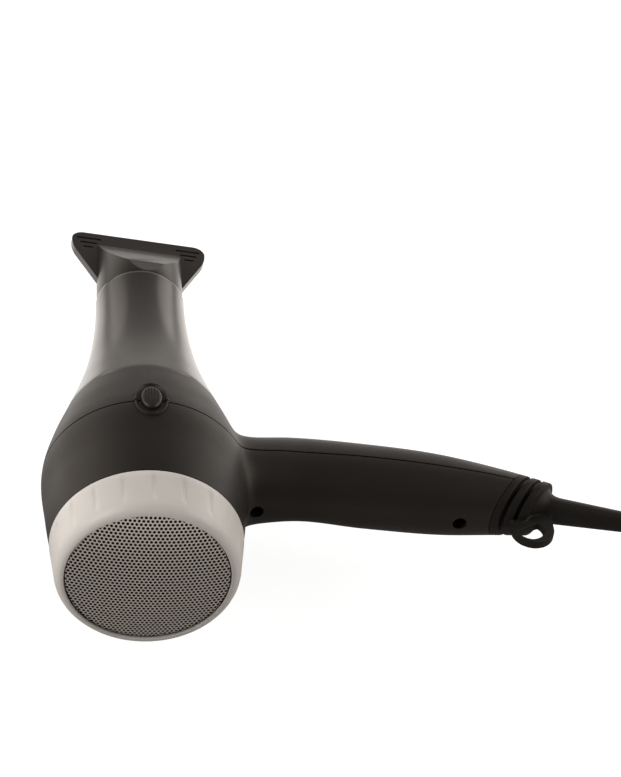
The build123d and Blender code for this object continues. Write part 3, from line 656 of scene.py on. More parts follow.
def make_cap():
    taper = (band_front_r - band_rear_r) / (band_front_y - band_rear_y)
    band = [(band_rear_r + taper * (y - band_rear_y), y) for y in (band_rear_y, notch_rear_y, notch_front_y)]
    outline = band + cap_front + cap_seat + cap_bevel
    cap = turned("rear_cap_ring", outline + outline[:1], notch_count * strips_a_notch)
    step = 2 * pi / (notch_count * strips_a_notch)
    middle_y = (notch_rear_y + notch_front_y) / 2

    def notch_face(centre, normal):
        strip = atan2(centre.z, centre.x) / step
        aligned = (strip // 1 + 2) % strips_a_notch < notch_strips
        return aligned and abs(centre.y - middle_y) < 0.3 and normal.x * centre.x + normal.z * centre.z > 0

    select_faces(cap, notch_face)
    bpy.ops.mesh.inset(thickness=notch_slope * mm, depth=-notch_depth * mm)
    leave_edit()
    for k in range(lug_count):
        start = k * 360 / lug_count
        join(cap, sector("lug", lug_out_r, lug_in_r, lug_y, lug_y + lug_h, start, lug_run, 4))
    return cap


rear_cap_ring = make_cap()


# Intake grille: a sheet of round holes, trimmed to a disc and pressed into a dome
mesh_pitch = 1.9
mesh_hole_r = 0.7
mesh_r = 36.4
mesh_edge_r = 35.4
mesh_rim_y = -0.1
mesh_dome = 5.0
mesh_sheet = 0.5
mesh_flat_y = 20


def mesh_cell(name):
    """One six-sided cell of sheet round its hole."""
    cell = start_circle(name, 12, mesh_hole_r, at(0, mesh_flat_y), (pi / 2, 0, 0), "NOTHING")
    bpy.ops.mesh.extrude_region_move()
    half = mesh_pitch / 2
    mesh = bmesh.from_edit_mesh(cell.data)
    for vertex in mesh.verts:
        if vertex.select:
            angle = atan2(vertex.co.y, vertex.co.x)
            turn = (angle + pi / 6) % (pi / 3) - pi / 6
            vertex.co *= half / cos(turn) / mesh_hole_r
    bmesh.update_edit_mesh(cell.data)
    leave_edit()
    return cell


def make_grille():
    row_step = mesh_pitch * sqrt(3) / 2
    sheet = mesh_cell("grille_sheet")
    other = copy_of(sheet, "other_row")
    other.location += (X * mesh_pitch / 2 + Z * row_step) * mm
    join(sheet, other)
    columns = int(2 * mesh_r / mesh_pitch) + 4
    rows = int(mesh_r / row_step) + 3
    pick(sheet)
    bpy.ops.object.transform_apply()
    for count, step in ((columns, X * mesh_pitch), (rows, Z * 2 * row_step)):
        work(
            sheet, "ARRAY", count=count, constant_offset_displace=step * mm, use_relative_offset=False,
            use_constant_offset=True, use_merge_vertices=True, merge_threshold=0.01 * mm,
        )
    edit(sheet)
    back = X * (columns // 2) * mesh_pitch + Z * (rows // 2) * 2 * row_step
    bpy.ops.transform.translate(value=-back * mm)
    leave_edit()
    sides = 72
    for k in range(sides):
        angle = 2 * pi * k / sides
        out = Vector((cos(angle), 0, sin(angle)))
        slice_off(sheet, at(0, mesh_flat_y) + out * mesh_edge_r * mm, out, fill=False)
    ball_r = (mesh_r**2 + mesh_dome**2) / (2 * mesh_dome)
    centre_y = mesh_rim_y - mesh_dome + ball_r
    rim = asin((mesh_r + 1) / ball_r)
    arc = [(ball_r * sin(a), centre_y - ball_r * cos(a)) for a in spread(0, rim, 40)]
    dome = turned("dome", arc, 128)
    work(
        sheet, "SHRINKWRAP", target=dome, wrap_method="PROJECT", use_project_y=True,
        use_negative_direction=True, use_positive_direction=True,
    )
    drop(dome)
    edit(sheet)
    bpy.ops.mesh.normals_make_consistent()
    edit(sheet)
    if (sheet.matrix_world.to_3x3() @ sheet.data.polygons[0].normal).y > 0:
        bpy.ops.mesh.flip_normals()
    leave_edit()
    work(sheet, "SOLIDIFY", thickness=mesh_sheet * mm, offset=-1)
    return sheet


grille_sheet = make_grille()


# Concentrator: a round channel that slopes to a thin flat mouth, with a grooved wing on each side
nozzle_turn = radians(6.5)
wide = Vector((cos(nozzle_turn), 0, -sin(nozzle_turn)))
tall = Vector((sin(nozzle_turn), 0, cos(nozzle_turn)))
nozzle_rear_y = 195.6
nozzle_front_y = 250.0
nozzle_r = 21.4
nozzle_wall = 1.6
mouth_half_w = 34.5
mouth_half_h = 1.8
mouth_wall = 0.9
slot_half_w = 27.0
throat_r = 17.4
slope_start_y = 206.4
slope_drop = 2.0
slope_end_y = 240.4
wing_root_y = 209.0
wing_root_half = 20.2
wing_tip_y = 238.4
wing_bow = 23.0
wing_corner = 6.0
wing_groove_y = 245.2
wing_groove_pitch = 3.7
wing_groove_w = 1.3
wing_groove_cut = 0.55
wing_groove_in = 19.3
wing_groove_in_step = 2.1
wing_groove_out = 32.1
wing_groove_out_step = 1.65


def on_nozzle(a, y, b=0.0):
    return axis_foot + (wide * a + Y * y + tall * b) * mm


def rounded_turn(before, corner, after, radius):
    """Points of the arc that rounds one corner of a flat outline."""
    corner = Vector(corner)
    back = (Vector(before) - corner).normalized()
    ahead = (Vector(after) - corner).normalized()
    half = back.angle(ahead) / 2
    reach = radius / tan(half)
    centre = corner + (back + ahead).normalized() * radius / sin(half)
    start = corner + back * reach - centre
    stop = corner + ahead * reach - centre
    return [tuple(centre + start.lerp(stop, share).normalized() * radius) for share in spread(0, 1, 9)]


def both_sides(right):
    return right + [(-a, y) for a, y in reversed(right)]


def wing_outline():
    root = (wing_root_half, wing_root_y)
    tip = (mouth_half_w, wing_tip_y)
    front = (mouth_half_w, nozzle_front_y)
    right = [root] + rounded_turn(root, tip, front, wing_bow)
    return both_sides(right + rounded_turn(tip, front, (0, nozzle_front_y), wing_corner))


def slot_outline():
    front_y = nozzle_front_y + 6
    root = (wing_root_half - nozzle_wall, wing_root_y)
    return both_sides([root, (slot_half_w, wing_tip_y), (slot_half_w, front_y)])


def nozzle_form(name, r, half_h, rear_y, outline):
    """Channel and wings as one closed form."""
    rear_round = 0.4
    end_y = nozzle_front_y - 2
    band = [(0, rear_y), (r - rear_round, rear_y), (r, rear_y + rear_round), (r, end_y), (0, end_y)]
    channel = turned(name, band, 160)
    shoulder = r - slope_drop
    slopes = [(rear_y, r + 0.1, slope_start_y, shoulder), (slope_start_y, shoulder, slope_end_y, half_h)]
    for side in (1, -1):
        for y0, z0, y1, z1 in slopes:
            normal = (Y * (z0 - z1) + tall * side * (y1 - y0)).normalized()
            slice_off(channel, on_nozzle(0, y1, side * z1), normal)
    corners = [on_nozzle(a, y, -half_h) for a, y in outline]
    combine(channel, prism("wings", corners, tall * 2 * half_h * mm), "UNION")
    return channel


def wing_groove(side, face, k):
    """Round-ended cutter for one groove on one face of a wing."""
    y = wing_groove_y - k * wing_groove_pitch
    half = wing_groove_w / 2
    inner = wing_groove_in + k * wing_groove_in_step + half
    outer = wing_groove_out - k * wing_groove_out_step - half
    ends = []
    for centre, turn in ((outer, -90), (inner, 90)):
        for j in range(7):
            angle = radians(turn + 30 * j)
            ends.append((side * (centre + half * cos(angle)), y + half * sin(angle)))
    depth = mouth_half_h - wing_groove_cut
    corners = [on_nozzle(a, b, face * depth) for a, b in ends]
    return prism("groove", corners, tall * face * 4 * mm)


def make_nozzle():
    nozzle = nozzle_form("nozzle_shell", nozzle_r, mouth_half_h, nozzle_rear_y, wing_outline())
    soften(nozzle, 0.6, 3, 25)
    for side in (1, -1):
        for face in (1, -1):
            for k in range(3):
                cut(nozzle, wing_groove(side, face, k))
    channel_r = nozzle_r - nozzle_wall
    rear_y = nozzle_rear_y + nozzle_wall
    cut(nozzle, nozzle_form("inside", channel_r, mouth_half_h - mouth_wall, rear_y, slot_outline()))
    bore = [(0, 190), (throat_r, 190), (throat_r, 199), (0, 199)]
    cut(nozzle, turned("bore", bore, 96))
    sleeve = [
        (throat_r, 186.2), (18.6, 186.2), (19.0, 186.6), (19.0, 196.4), (throat_r, 196.4), (throat_r, 186.2),
    ]
    join(nozzle, turned("sleeve", sleeve, 96))
    return nozzle


nozzle_shell = make_nozzle()


# Cool button: a low oval dome with fine ribs along it
button_top = 48.7
button_outline = [
    (0, 40.8), (1.4, 40.8), (1.4, 42.0), (5.3, 42.0), (5.3, 42.7), (button_r, 42.7), (button_r, 47.5),
    (4.5, 47.95), (4.2, 48.3), (3.75, 48.5), (2.0, button_top), (0, button_top),
]
rib_pitch = 1.3
rib_half = 0.2
rib_cut = 0.4
rib_field_r = 3.6


def make_button():
    button = button_oval("cool_button_cap", button_outline, button_stretch)
    for k in range(-2, 3):
        x = rib_pitch * k
        half = sqrt(rib_field_r**2 - x**2) * button_stretch
        rib = [(x - rib_half, -half), (x + rib_half, -half), (x + rib_half, half), (x - rib_half, half)]
        corners = [at(a, button_y + b, button_top - rib_cut) for a, b in rib]
        cut(button, prism("rib", corners, Z * cutter_reach * mm))
    return button


cool_button_cap = make_button()


# Switch bezel and its two rockers on the front face of the handle
rocker_pitch = 23.0
rocker_l = 16.0
rocker_w = 6.4
rocker_top = 2.0
rocker_dish = 1.6
rocker_foot = -6.8
rocker_end_gap = 1.0
rocker_side_gap = 0.5
grip_pitch = 1.3
grip_cut = 0.35
grip_fall = 0.18


def make_bezel():
    plate = rounded_corners(bezel_l, bezel_w, bezel_corner)
    bezel = on_bezel("switch_bezel_plate", plate, -bezel_t, bezel_proud)
    soften(bezel, 0.3)
    window = rounded_corners(rocker_l + 2 * rocker_end_gap, rocker_w + 2 * rocker_side_gap, 0.6, 2)
    for side in (-1, 1):
        cut(bezel, on_bezel("window", window, -cutter_reach, cutter_reach, side * rocker_pitch / 2))
    return bezel


def make_rocker(name, along):
    end = rocker_l / 2
    falls = [rocker_dish * sin(pi / 2 * k / 4) ** 1.3 for k in range(4)]
    top = [(end - 2.2 * k, rocker_top - fall) for k, fall in enumerate(falls)]
    outline = [(-end, rocker_foot), (end, rocker_foot)] + top + [(0, rocker_top - rocker_dish)]
    outline += [(-a, b) for a, b in reversed(top)]
    start = bezel_foot + (length_way * along - side_way * rocker_w / 2) * mm
    rocker = prism(name, placed(start, length_way, out_way, outline), side_way * rocker_w * mm)
    soften(rocker, 0.45, 3, 25)
    groove = rounded_corners(0.5, rocker_w - 2.4, 0.2, 2)
    for side in (-1, 1):
        for k in range(3):
            place = along + side * (end - 1.6 - grip_pitch * k)
            depth = rocker_top - grip_cut - grip_fall * k
            cut(rocker, on_bezel("grip", groove, depth, depth + 3, place))
    return rocker


switch_bezel_plate = make_bezel()
heat_rocker_key = make_rocker("heat_rocker_key", -rocker_pitch / 2)
speed_rocker_key = make_rocker("speed_rocker_key", rocker_pitch / 2)


# Strain relief: slanted ridges, a hollowed cone and a tapered sleeve in soft rubber, with a hanging loop
ridge_h = 3.1
ridge_pitch = 4.8
ridge_count = 3
groove_depth = 2.2
end_gap = 0.1
head_h = ridge_pitch * (ridge_count - 1) + ridge_h
sleeve_r = 7.3
sleeve_tip_r = 4.6
sleeve_tip = 56.0
cone_l = 5.2
cone_root_half = 11.2
cone_end_half = 6.4
lean_across = cos(end_slant - end_lean)
loop_x = 174.6
loop_y = 36.4
loop_r = 9.8
loop_thick = 4.0
loop_root_y = 45.0
eye_x = 173.4
eye_y = 35.2
eye_r = 6.0
eye_lean = radians(29.0)
eye_flat = 1.8


def end_slice(name, inset, start, stop):
    """Slice of the handle's form between two distances past its slanted end."""
    piece = handle_form(name, inset, 140, 205, 18)
    slice_off(piece, end_place + end_normal * start * mm, -end_normal)
    slice_off(piece, end_place + end_normal * stop * mm, end_normal)
    return piece


def on_sleeve_axis(distance):
    """Point on the sleeve's axis at a distance past the handle's slanted end."""
    return end_place + lean_axis * distance / lean_across * mm


def relief_cone():
    """Oval cone parallel to the slanted end, hollowed towards the sleeve."""
    start = head_h - ridge_h / 2
    stations = []
    for share in spread(0, 1, 12):
        half = cone_root_half + (cone_end_half - cone_root_half) * (1 - (1 - share) ** 2)
        middle = on_sleeve_axis(start + (cone_l + ridge_h / 2) * share)
        stations.append((middle, (half, half / lean_across, 1)))
    return oval_loft("cone", 72, (0, pi / 2, -end_slant), stations, orient_type="LOCAL")


def make_loop():
    outline = [(loop_x + loop_r * cos(a), loop_y + loop_r * sin(a)) for a in spread(pi, 2 * pi, 25)]
    outline += [(loop_x + loop_r, loop_root_y), (loop_x - loop_r, loop_root_y)]
    loop = prism("loop", [at(x, y, -loop_thick / 2) for x, y in outline], Z * loop_thick * mm)
    half = acos(eye_flat / eye_r)
    angles = spread(pi / 2 + eye_lean + half, 2.5 * pi + eye_lean - half, 24)
    eye = [at(eye_x + eye_r * cos(a), eye_y + eye_r * sin(a), -6) for a in angles]
    cut(loop, prism("eye", eye, Z * 12 * mm))
    slice_off(loop, end_place + end_normal * ridge_h / 2 * mm, -end_normal)
    return loop


def make_relief():
    relief = end_slice("cord_relief", groove_depth, end_gap, head_h)
    for k in range(ridge_count):
        ridge = end_slice("ridge", 0, max(k * ridge_pitch, end_gap), k * ridge_pitch + ridge_h)
        soften(ridge, 0.7, 3, 40)
        join(relief, ridge)
    join(relief, relief_cone())
    slope = (sleeve_tip_r - sleeve_r) / sleeve_tip
    outline = [(0, 6)] + [(sleeve_r + slope * s, s) for s in (6, 16, 26, 36, 46, 55)]
    outline += [(sleeve_tip_r - 0.15, 55.7), (sleeve_tip_r - 0.5, sleeve_tip), (0, sleeve_tip)]
    join(relief, turned("sleeve", outline, 72, end_place, lean_axis, Z), make_loop())
    work(relief, "REMESH", mode="VOXEL", voxel_size=0.36 * mm)
    work(relief, "SMOOTH", factor=0.5, iterations=5)
    slice_off(relief, end_place + end_normal * 0.15 * mm, -end_normal)
    return relief


cord_relief = make_relief()


# Plug: moulded body with grip ribs, a ringed tail and two round pins
plug_x = 0.354
plug_z = 0.013
plug_tail_y = 0.040
plug_root_y = 0.062
plug_face_y = 0.096
plug_w = 35.0
plug_h = 25.0
plug_shoulder = 10.0
plug_corner = 10.0
plug_root_w = 12.6
plug_root_h = 12.0
plug_rib_pitch = 4.0
plug_rib_w = 1.8
plug_tail_rings = 4
plug_ring_pitch = 4.4
pin_r = 2.4
pin_l = 19.0
pin_spacing = 19.0


def on_plug(y):
    return Vector((plug_x, y, plug_z))


def make_plug():
    outline = rounded_corners(plug_w, plug_h, plug_corner, 10)
    plug = draw("plug_shell", placed(on_plug(plug_face_y), X, Z, outline))
    bpy.ops.mesh.edge_face_add()
    shoulder_y = plug_root_y + plug_shoulder * mm
    push(Y * (shoulder_y - plug_face_y))
    stations = []
    for angle in spread(0, pi / 2, 9):
        back = 1 - cos(angle)
        size = (plug_w + (plug_root_w - plug_w) * back, 1, plug_h + (plug_root_h - plug_h) * back)
        stations.append((on_plug(shoulder_y - plug_shoulder * mm * sin(angle)), size))
    loft(stations)
    soften(plug, 1.2, 4, 50)
    for side in (-1, 1):
        for k in range(5):
            y = shoulder_y + (3.5 + plug_rib_pitch * k) * mm
            place = on_plug(y - plug_rib_w / 2 * mm) + X * side * (plug_w / 2 + 0.7) * mm
            rib = placed(place, X, Z, rounded_corners(3.0, 15.0, 1.4, 4))
            cut(plug, prism("rib", rib, Y * plug_rib_w * mm))
    tail = [(0, 0), (4.2, 0), (4.6, 0.5)]
    for k in range(plug_tail_rings):
        s = plug_ring_pitch * (k + 0.5)
        r = 4.62 + 0.2 * k
        tail += [(r, s), (r - 0.75, s + 0.5), (r - 0.75, s + 1.5), (r + 0.05, s + 2.0)]
    tail += [(5.5, 19.5), (5.9, 22.5), (0, 22.5)]
    join(plug, turned("tail", tail, 64, on_plug(plug_tail_y)))
    return plug


def make_pins():
    outline = [
        (0, -1), (pin_r, -1), (pin_r, pin_l - 1.4), (2.25, pin_l - 0.8), (1.85, pin_l - 0.3),
        (1.3, pin_l - 0.05), (0, pin_l),
    ]
    right = turned("plug_pin_pair", outline, 48, on_plug(plug_face_y) + X * pin_spacing / 2 * mm)
    left = copy_of(right, "left_pin")
    left.location -= X * pin_spacing * mm
    join(right, left)
    return right


plug_shell = make_plug()
plug_pin_pair = make_pins()


# Tie: a woven strap round the coil, with its free end lapped over on the outside
tie_angle = radians(140.0)
tie_width = 11.0
tie_thick = 0.8
tie_in = 24.8
tie_out = 50.9
tie_low = 0.05
tie_high = 33.3


def make_tie():
    tie_way = Vector((cos(tie_angle), sin(tie_angle), 0))
    strap_way = Vector((-tie_way.y, tie_way.x, 0))

    def strap(name, a0, a1, z0, z1, corner, width=tie_width):
        start = Vector((coil_x, coil_y, 0)) - strap_way * width / 2 * mm
        middle = start + (tie_way * (a0 + a1) / 2 + Z * (z0 + z1) / 2) * mm
        flat = rounded_corners(a1 - a0, z1 - z0, corner, 8)
        return prism(name, placed(middle, tie_way, Z, flat), strap_way * width * mm)

    tie = strap("coil_tie_strap", tie_in, tie_out, tie_low, tie_high, 4.4)
    inset = tie_thick
    hole_w = tie_width + 10
    hole = strap("hole", tie_in + inset, tie_out - inset, tie_low + inset, tie_high - inset, 3.6, hole_w)
    cut(tie, hole)
    join(tie, strap("lap", tie_in + 6, tie_out - 3, tie_high - 0.1, tie_high + tie_thick, 0.3))
    soften(tie, 0.2, 2, 50)
    return tie


coil_tie_strap = make_tie()


# Finishes: effects that several materials share
def wire(tree, start, stop):
    tree.links.new(start, stop)


def set_inputs(made, values):
    for name, value in values.items():
        made.inputs[name.replace("_", " ")].default_value = value


def node(tree, kind, **values):
    """New shader node with values on its named inputs."""
    made = tree.nodes.new("ShaderNode" + kind)
    set_inputs(made, values)
    return made


def object_place(tree):
    return node(tree, "TexCoord").outputs["Object"]


def noise(tree, coordinates, scale, detail, roughness=0.5):
    made = node(tree, "TexNoise", Scale=scale, Detail=detail, Roughness=roughness)
    wire(tree, coordinates, made.inputs["Vector"])
    return made


def spread_values(tree, value, low, high, out_low, out_high):
    made = node(tree, "MapRange", From_Min=low, From_Max=high, To_Min=out_low, To_Max=out_high)
    wire(tree, value, made.inputs["Value"])
    return made.outputs["Result"]


def new_group(name, scale_name, scale, *results):
    """Empty node group with one scale input and its named results."""
    tree = bpy.data.node_groups.new(name, "ShaderNodeTree")
    made = tree.interface.new_socket(name=scale_name, in_out="INPUT", socket_type="NodeSocketFloat")
    made.default_value = scale
    for result in results:
        tree.interface.new_socket(name=result, in_out="OUTPUT", socket_type="NodeSocketFloat")
    inside = tree.nodes.new("NodeGroupInput")
    return tree, inside.outputs[scale_name], tree.nodes.new("NodeGroupOutput")


def moulded_grain_group():
    """Fine spark grain of moulded plastic, with slow patches where hands have polished it."""
    tree, scale, outside = new_group("moulded_grain", "Grain Scale", 2400.0, "Height", "Polish")
    place = object_place(tree)
    grain = noise(tree, place, 1.0, 3.0, 0.6)
    wire(tree, scale, grain.inputs["Scale"])
    patches = noise(tree, place, 26.0, 4.0, 0.55)
    wire(tree, grain.outputs["Fac"], outside.inputs["Height"])
    wire(tree, spread_values(tree, patches.outputs["Fac"], 0.35, 0.7, 0.0, 1.0), outside.inputs["Polish"])
    return tree


def dust_group():
    """Specks of dust, as a mask."""
    tree, scale, outside = new_group("dust_specks", "Speck Scale", 900.0, "Mask")
    specks = noise(tree, object_place(tree), 1.0, 1.0, 0.4)
    wire(tree, scale, specks.inputs["Scale"])
    wire(tree, spread_values(tree, specks.outputs["Fac"], 0.72, 0.8, 0.0, 1.0), outside.inputs["Mask"])
    return tree


grain_group = moulded_grain_group()
specks_group = dust_group()


def place_group(tree, group, **values):
    made = node(tree, "Group")
    made.node_tree = group
    set_inputs(made, values)
    return made


def mixed(tree, mask, first, second):
    """Colour that goes from the first to the second with a mask."""
    made = node(tree, "Mix")
    made.data_type = "RGBA"
    set_inputs(made, {"A": (*first, 1), "B": (*second, 1)})
    wire(tree, mask, made.inputs["Factor"])
    return made


def bumped(tree, height, strength, distance):
    made = node(tree, "Bump", Strength=strength, Distance=distance * mm)
    wire(tree, height, made.inputs["Height"])
    return made.outputs["Normal"]


def new_finish(name, **sockets):
    finish = bpy.data.materials.new(name)
    finish.use_nodes = True
    shader = finish.node_tree.nodes["Principled BSDF"]
    set_inputs(shader, sockets)
    return finish, finish.node_tree, shader


def paint(tree, shader, mask, colours, rough, normal):
    """Feed a finish its colour along a mask, its roughness and its normal."""
    wire(tree, mixed(tree, mask, *colours).outputs["Result"], shader.inputs["Base Color"])
    wire(tree, rough, shader.inputs["Roughness"])
    wire(tree, normal, shader.inputs["Normal"])


def moulded(name, dark, light, rough_low, rough_high, grain=2400.0, strength=0.12, dust=0.15, **sockets):
    """Moulded plastic or rubber: slow tone changes, polished patches, fine grain and a little dust."""
    finish, tree, shader = new_finish(name, **sockets)
    group = place_group(tree, grain_group, Grain_Scale=grain)
    polish = group.outputs["Polish"]
    add = node(tree, "Math")
    add.operation = "MULTIPLY_ADD"
    add.inputs[1].default_value = dust
    wire(tree, place_group(tree, specks_group).outputs["Mask"], add.inputs[0])
    wire(tree, spread_values(tree, polish, 0.0, 1.0, rough_high, rough_low), add.inputs[2])
    normal = bumped(tree, group.outputs["Height"], strength, 0.05)
    paint(tree, shader, polish, (dark, light), add.outputs["Value"], normal)
    return finish


def worked_metal(name, dark, light, rough_low, rough_high, brush=(1.0, 1.0, 1.0)):
    """Metal with a directional grain that changes its tone and roughness."""
    finish, tree, shader = new_finish(name, Metallic=1.0)
    stretch = node(tree, "Mapping", Scale=brush)
    wire(tree, object_place(tree), stretch.inputs["Vector"])
    lines = noise(tree, stretch.outputs["Vector"], 900.0, 3.0, 0.6).outputs["Fac"]
    rough = spread_values(tree, lines, 0.3, 0.7, rough_low, rough_high)
    paint(tree, shader, lines, (dark, light), rough, bumped(tree, lines, 0.08, 0.03))
    return finish


def woven(name, dark, light, thread=1500.0):
    """Cloth: two crossing sets of threads with fuzz."""
    finish, tree, shader = new_finish(name, Sheen_Weight=0.3)
    place = object_place(tree)
    weave = node(tree, "Math")
    weave.operation = "MAXIMUM"
    for k, direction in enumerate(("X", "Z")):
        wave = node(tree, "TexWave", Scale=thread, Distortion=0.6)
        wave.bands_direction = direction
        wire(tree, place, wave.inputs["Vector"])
        wire(tree, wave.outputs["Fac"], weave.inputs[k])
    fuzz = noise(tree, place, 400.0, 4.0, 0.6).outputs["Fac"]
    rough = spread_values(tree, fuzz, 0.3, 0.7, 0.8, 0.9)
    paint(tree, shader, fuzz, (dark, light), rough, bumped(tree, weave.outputs["Value"], 0.5, 0.15))
    return finish


warm = (1.0, 0.92, 0.86, 1)
pin_brush = (1.0, 0.05, 1.0)
turned_brush = (1.0, 0.1, 1.0)
barrel_finish = moulded(
    "polished_black_barrel", (0.013, 0.0108, 0.0096), (0.016, 0.0134, 0.012), 0.2, 0.24,
    strength=0.02, dust=0.05, Specular_IOR_Level=0.4, Specular_Tint=warm,
)
button_finish = moulded(
    "black_button", (0.0135, 0.0112, 0.0098), (0.017, 0.0142, 0.0125), 0.4, 0.46, Specular_Tint=warm,
)
switch_finish = moulded("black_switch", (0.014, 0.013, 0.0125), (0.019, 0.018, 0.017), 0.38, 0.45)
cord_finish = moulded(
    "cord_sheath", (0.013, 0.0125, 0.012), (0.019, 0.018, 0.0175), 0.42, 0.52, grain=1500.0, strength=0.15,
)
strap_finish = woven("coil_strap", (0.012, 0.012, 0.012), (0.03, 0.029, 0.028), 1100.0)
slot_finishes = {
    "body_plastic": moulded(
        "satin_black_housing", (0.0135, 0.0112, 0.0098), (0.017, 0.0142, 0.0125), 0.44, 0.52,
        Specular_IOR_Level=0.3, Specular_Tint=warm,
    ),
    "nozzle_plastic": moulded(
        "polished_black_nozzle", (0.016, 0.0138, 0.0125), (0.02, 0.0175, 0.016), 0.26, 0.32,
        strength=0.06, Specular_IOR_Level=0.25, Specular_Tint=warm,
    ),
    "cap_plastic": moulded(
        "silver_grey_cap", (0.66, 0.635, 0.605), (0.72, 0.695, 0.665), 0.34, 0.42,
        grain=3200.0, strength=0.06,
    ),
    "grille_metal": worked_metal("steel_grille", (0.56, 0.53, 0.48), (0.7, 0.66, 0.6), 0.24, 0.34),
    "filter_fabric": woven("lint_filter_gauze", (0.006, 0.006, 0.006), (0.013, 0.0125, 0.012)),
    "black_plastic": switch_finish,
    "rubber": moulded(
        "soft_black_rubber", (0.0105, 0.0094, 0.0084), (0.015, 0.0136, 0.0122), 0.48, 0.58,
        grain=1800.0, strength=0.2, Specular_IOR_Level=0.2, Specular_Tint=warm,
    ),
    "steel": worked_metal("zinc_steel", (0.42, 0.41, 0.39), (0.58, 0.57, 0.54), 0.3, 0.42),
    "motor_steel": worked_metal(
        "motor_can_steel", (0.38, 0.38, 0.38), (0.5, 0.5, 0.5), 0.3, 0.45, turned_brush,
    ),
    "copper_core": worked_metal(
        "copper_windings", (0.5, 0.2, 0.09), (0.68, 0.3, 0.14), 0.3, 0.45, turned_brush,
    ),
    "bearing_brass": worked_metal("brass_bearing", (0.55, 0.4, 0.16), (0.68, 0.52, 0.24), 0.28, 0.4),
    "mica": moulded(
        "mica_sheet", (0.32, 0.27, 0.2), (0.45, 0.39, 0.3), 0.35, 0.5, grain=700.0, strength=0.2,
    ),
    "heater_wire": worked_metal("heater_wire", (0.3, 0.29, 0.28), (0.42, 0.4, 0.38), 0.35, 0.5),
    "switch_plastic": switch_finish,
    "pin_metal": worked_metal("nickel_pins", (0.6, 0.58, 0.54), (0.72, 0.7, 0.66), 0.16, 0.26, pin_brush),
    "wire_sheath": moulded("wire_sheath", (0.35, 0.06, 0.04), (0.42, 0.08, 0.05), 0.4, 0.5),
    "fan_plastic": moulded("fan_nylon", (0.03, 0.03, 0.032), (0.045, 0.045, 0.048), 0.35, 0.45),
}


# Each new piece: its body, the solid it stands for, its record slot and, if not the slot's, its finish
def settle(piece, body, node_name, slot, finish=None, angle=35):
    pick(piece)
    bpy.ops.object.transform_apply()
    bpy.ops.object.shade_smooth_by_angle(angle=radians(angle))
    piece.data.materials.clear()
    piece.data.materials.append(finish or slot_finishes[slot])
    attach(piece, body)
    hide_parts(node_name)


settle(front_shell, "housing", "front_housing", "body_plastic")
settle(rear_shell, "housing", "rear_housing", "body_plastic")
settle(barrel_shell, "housing", "front_barrel", "body_plastic", barrel_finish)
settle(rear_cap_ring, "cap", "rear_cap", "cap_plastic")
settle(grille_sheet, "cap", "intake_grille", "grille_metal")
settle(nozzle_shell, "nozzle", "concentrator", "nozzle_plastic", angle=12)
settle(cool_button_cap, "button", "cool_button", "switch_plastic", button_finish)
settle(switch_bezel_plate, "housing", "switch_bezel", "switch_plastic")
settle(heat_rocker_key, "heat_rocker", "heat_rocker", "switch_plastic")
settle(speed_rocker_key, "speed_rocker", "speed_rocker", "switch_plastic")
settle(cord_relief, "housing", "strain_relief", "rubber")
settle(plug_shell, "housing", "plug_body", "rubber")
settle(plug_pin_pair, "housing", "plug_pins", "pin_metal")
settle(coil_tie_strap, "housing", "cord_tie", "black_plastic", strap_finish)

mains_cord.data.materials.append(cord_finish)
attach(mains_cord, "housing")
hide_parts("cord", "cord_coil", "cord_tail")

# Solids that stay as they are take the finish of their slot
for subpart in frame["record"]["subparts"]:
    solid = frame["nodes"][subpart["node"]]
    for place in solid.material_slots:
        place.material = slot_finishes[subpart["material_slot"]]

# White floor, soft lights from both sides and a room that darkens overhead
warm_light = Vector((1.0, 0.95, 0.9))


def part_of(tree, vector, axis):
    split = node(tree, "SeparateXYZ")
    wire(tree, vector, split.inputs["Vector"])
    return split.outputs[axis]


def tones(tree, share, steps):
    """Warm grey tones along a value, each at its place."""
    ramp = node(tree, "ValToRGB")
    stops = ramp.color_ramp.elements
    stops.remove(stops[1])
    stops[0].color = (*(warm_light * steps[0][1]), 1)
    for place, tone in steps[1:]:
        stops.new(place).color = (*(warm_light * tone), 1)
    wire(tree, share, ramp.inputs["Fac"])
    return ramp.outputs["Color"]


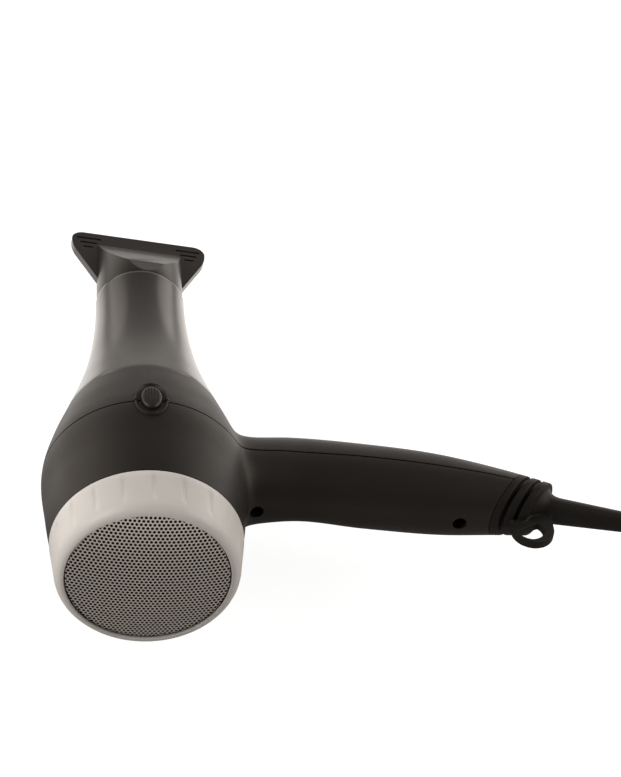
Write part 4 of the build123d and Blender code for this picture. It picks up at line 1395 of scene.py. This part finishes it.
def make_floor():
    """White as it is seen. In what the dryer mirrors and in the light it casts on the dryer, the floor glows
    as painted light: a painted lit patch behind the dryer and painted shadow just in front of and under it.
    """
    deselect()
    bpy.ops.mesh.primitive_plane_add(size=8)
    floor = bpy.context.object
    floor.name = "floor"
    finish, tree, shader = new_finish("white_floor", Roughness=0.8, Emission_Strength=2.0)
    place = object_place(tree)
    tone = noise(tree, place, 3.0, 2.0).outputs["Fac"]
    colour = mixed(tree, tone, (0.34, 0.34, 0.34), (0.36, 0.36, 0.36))
    wire(tree, colour.outputs["Result"], shader.inputs["Base Color"])
    # Painted glow along the floor's Y: dark just in front of and under the dryer as painted shadow, and a
    # bright painted lit patch behind it
    painted_light_and_shadow_steps = ((0.0, 0.3), (0.3, 0.08), (0.46, 0.05), (0.58, 0.75), (0.68, 0.75), (0.82, 0.2))
    white = (0.45, 0.45, 0.45)
    share = spread_values(tree, part_of(tree, place, "Y"), -0.6, 0.6, 0.0, 1.0)
    glow = mixed(tree, node(tree, "LightPath").outputs["Is Camera Ray"], white, white)
    wire(tree, tones(tree, share, painted_light_and_shadow_steps), glow.inputs["A"])
    wire(tree, glow.outputs["Result"], shader.inputs["Emission Color"])
    floor.data.materials.append(finish)
    return floor


make_floor()


def softbox(name, place, width, height, power):
    data = bpy.data.lights.new(name, "AREA")
    data.shape = "RECTANGLE"
    data.size = width
    data.size_y = height
    data.energy = power
    data.color = warm_light
    light = bpy.data.objects.new(name, data)
    light.location = place
    light.rotation_euler = (-Vector(place)).to_track_quat("-Z", "Y").to_euler()
    scene.collection.objects.link(light)


softbox("left", (-1.5, -0.2, 1.05), 1.2, 1.2, 20)
softbox("right", (1.5, 0.0, 1.05), 1.2, 1.2, 14)
softbox("left_back", (-1.3, 1.6, 0.45), 1.4, 0.9, 3)
softbox("right_back", (1.3, 1.6, 0.45), 1.4, 0.9, 5)


def make_room():
    """Bright near the horizon behind the dryer, dark overhead and in front."""
    room = bpy.data.worlds.new("studio")
    room.use_nodes = True
    tree = room.node_tree
    way = node(tree, "TexCoord").outputs["Generated"]
    sky_steps = ((0.0, 0.9), (0.25, 0.6), (0.6, 0.36), (0.8, 0.12), (1.0, 0.04))
    background = tree.nodes["Background"]
    wire(tree, tones(tree, part_of(tree, way, "Z"), sky_steps), background.inputs["Color"])
    behind = spread_values(tree, part_of(tree, way, "Y"), -0.5, 0.5, 0.3, 1.25)
    wire(tree, behind, background.inputs["Strength"])
    return room


scene.world = make_room()
scene.view_settings.view_transform = "Standard"
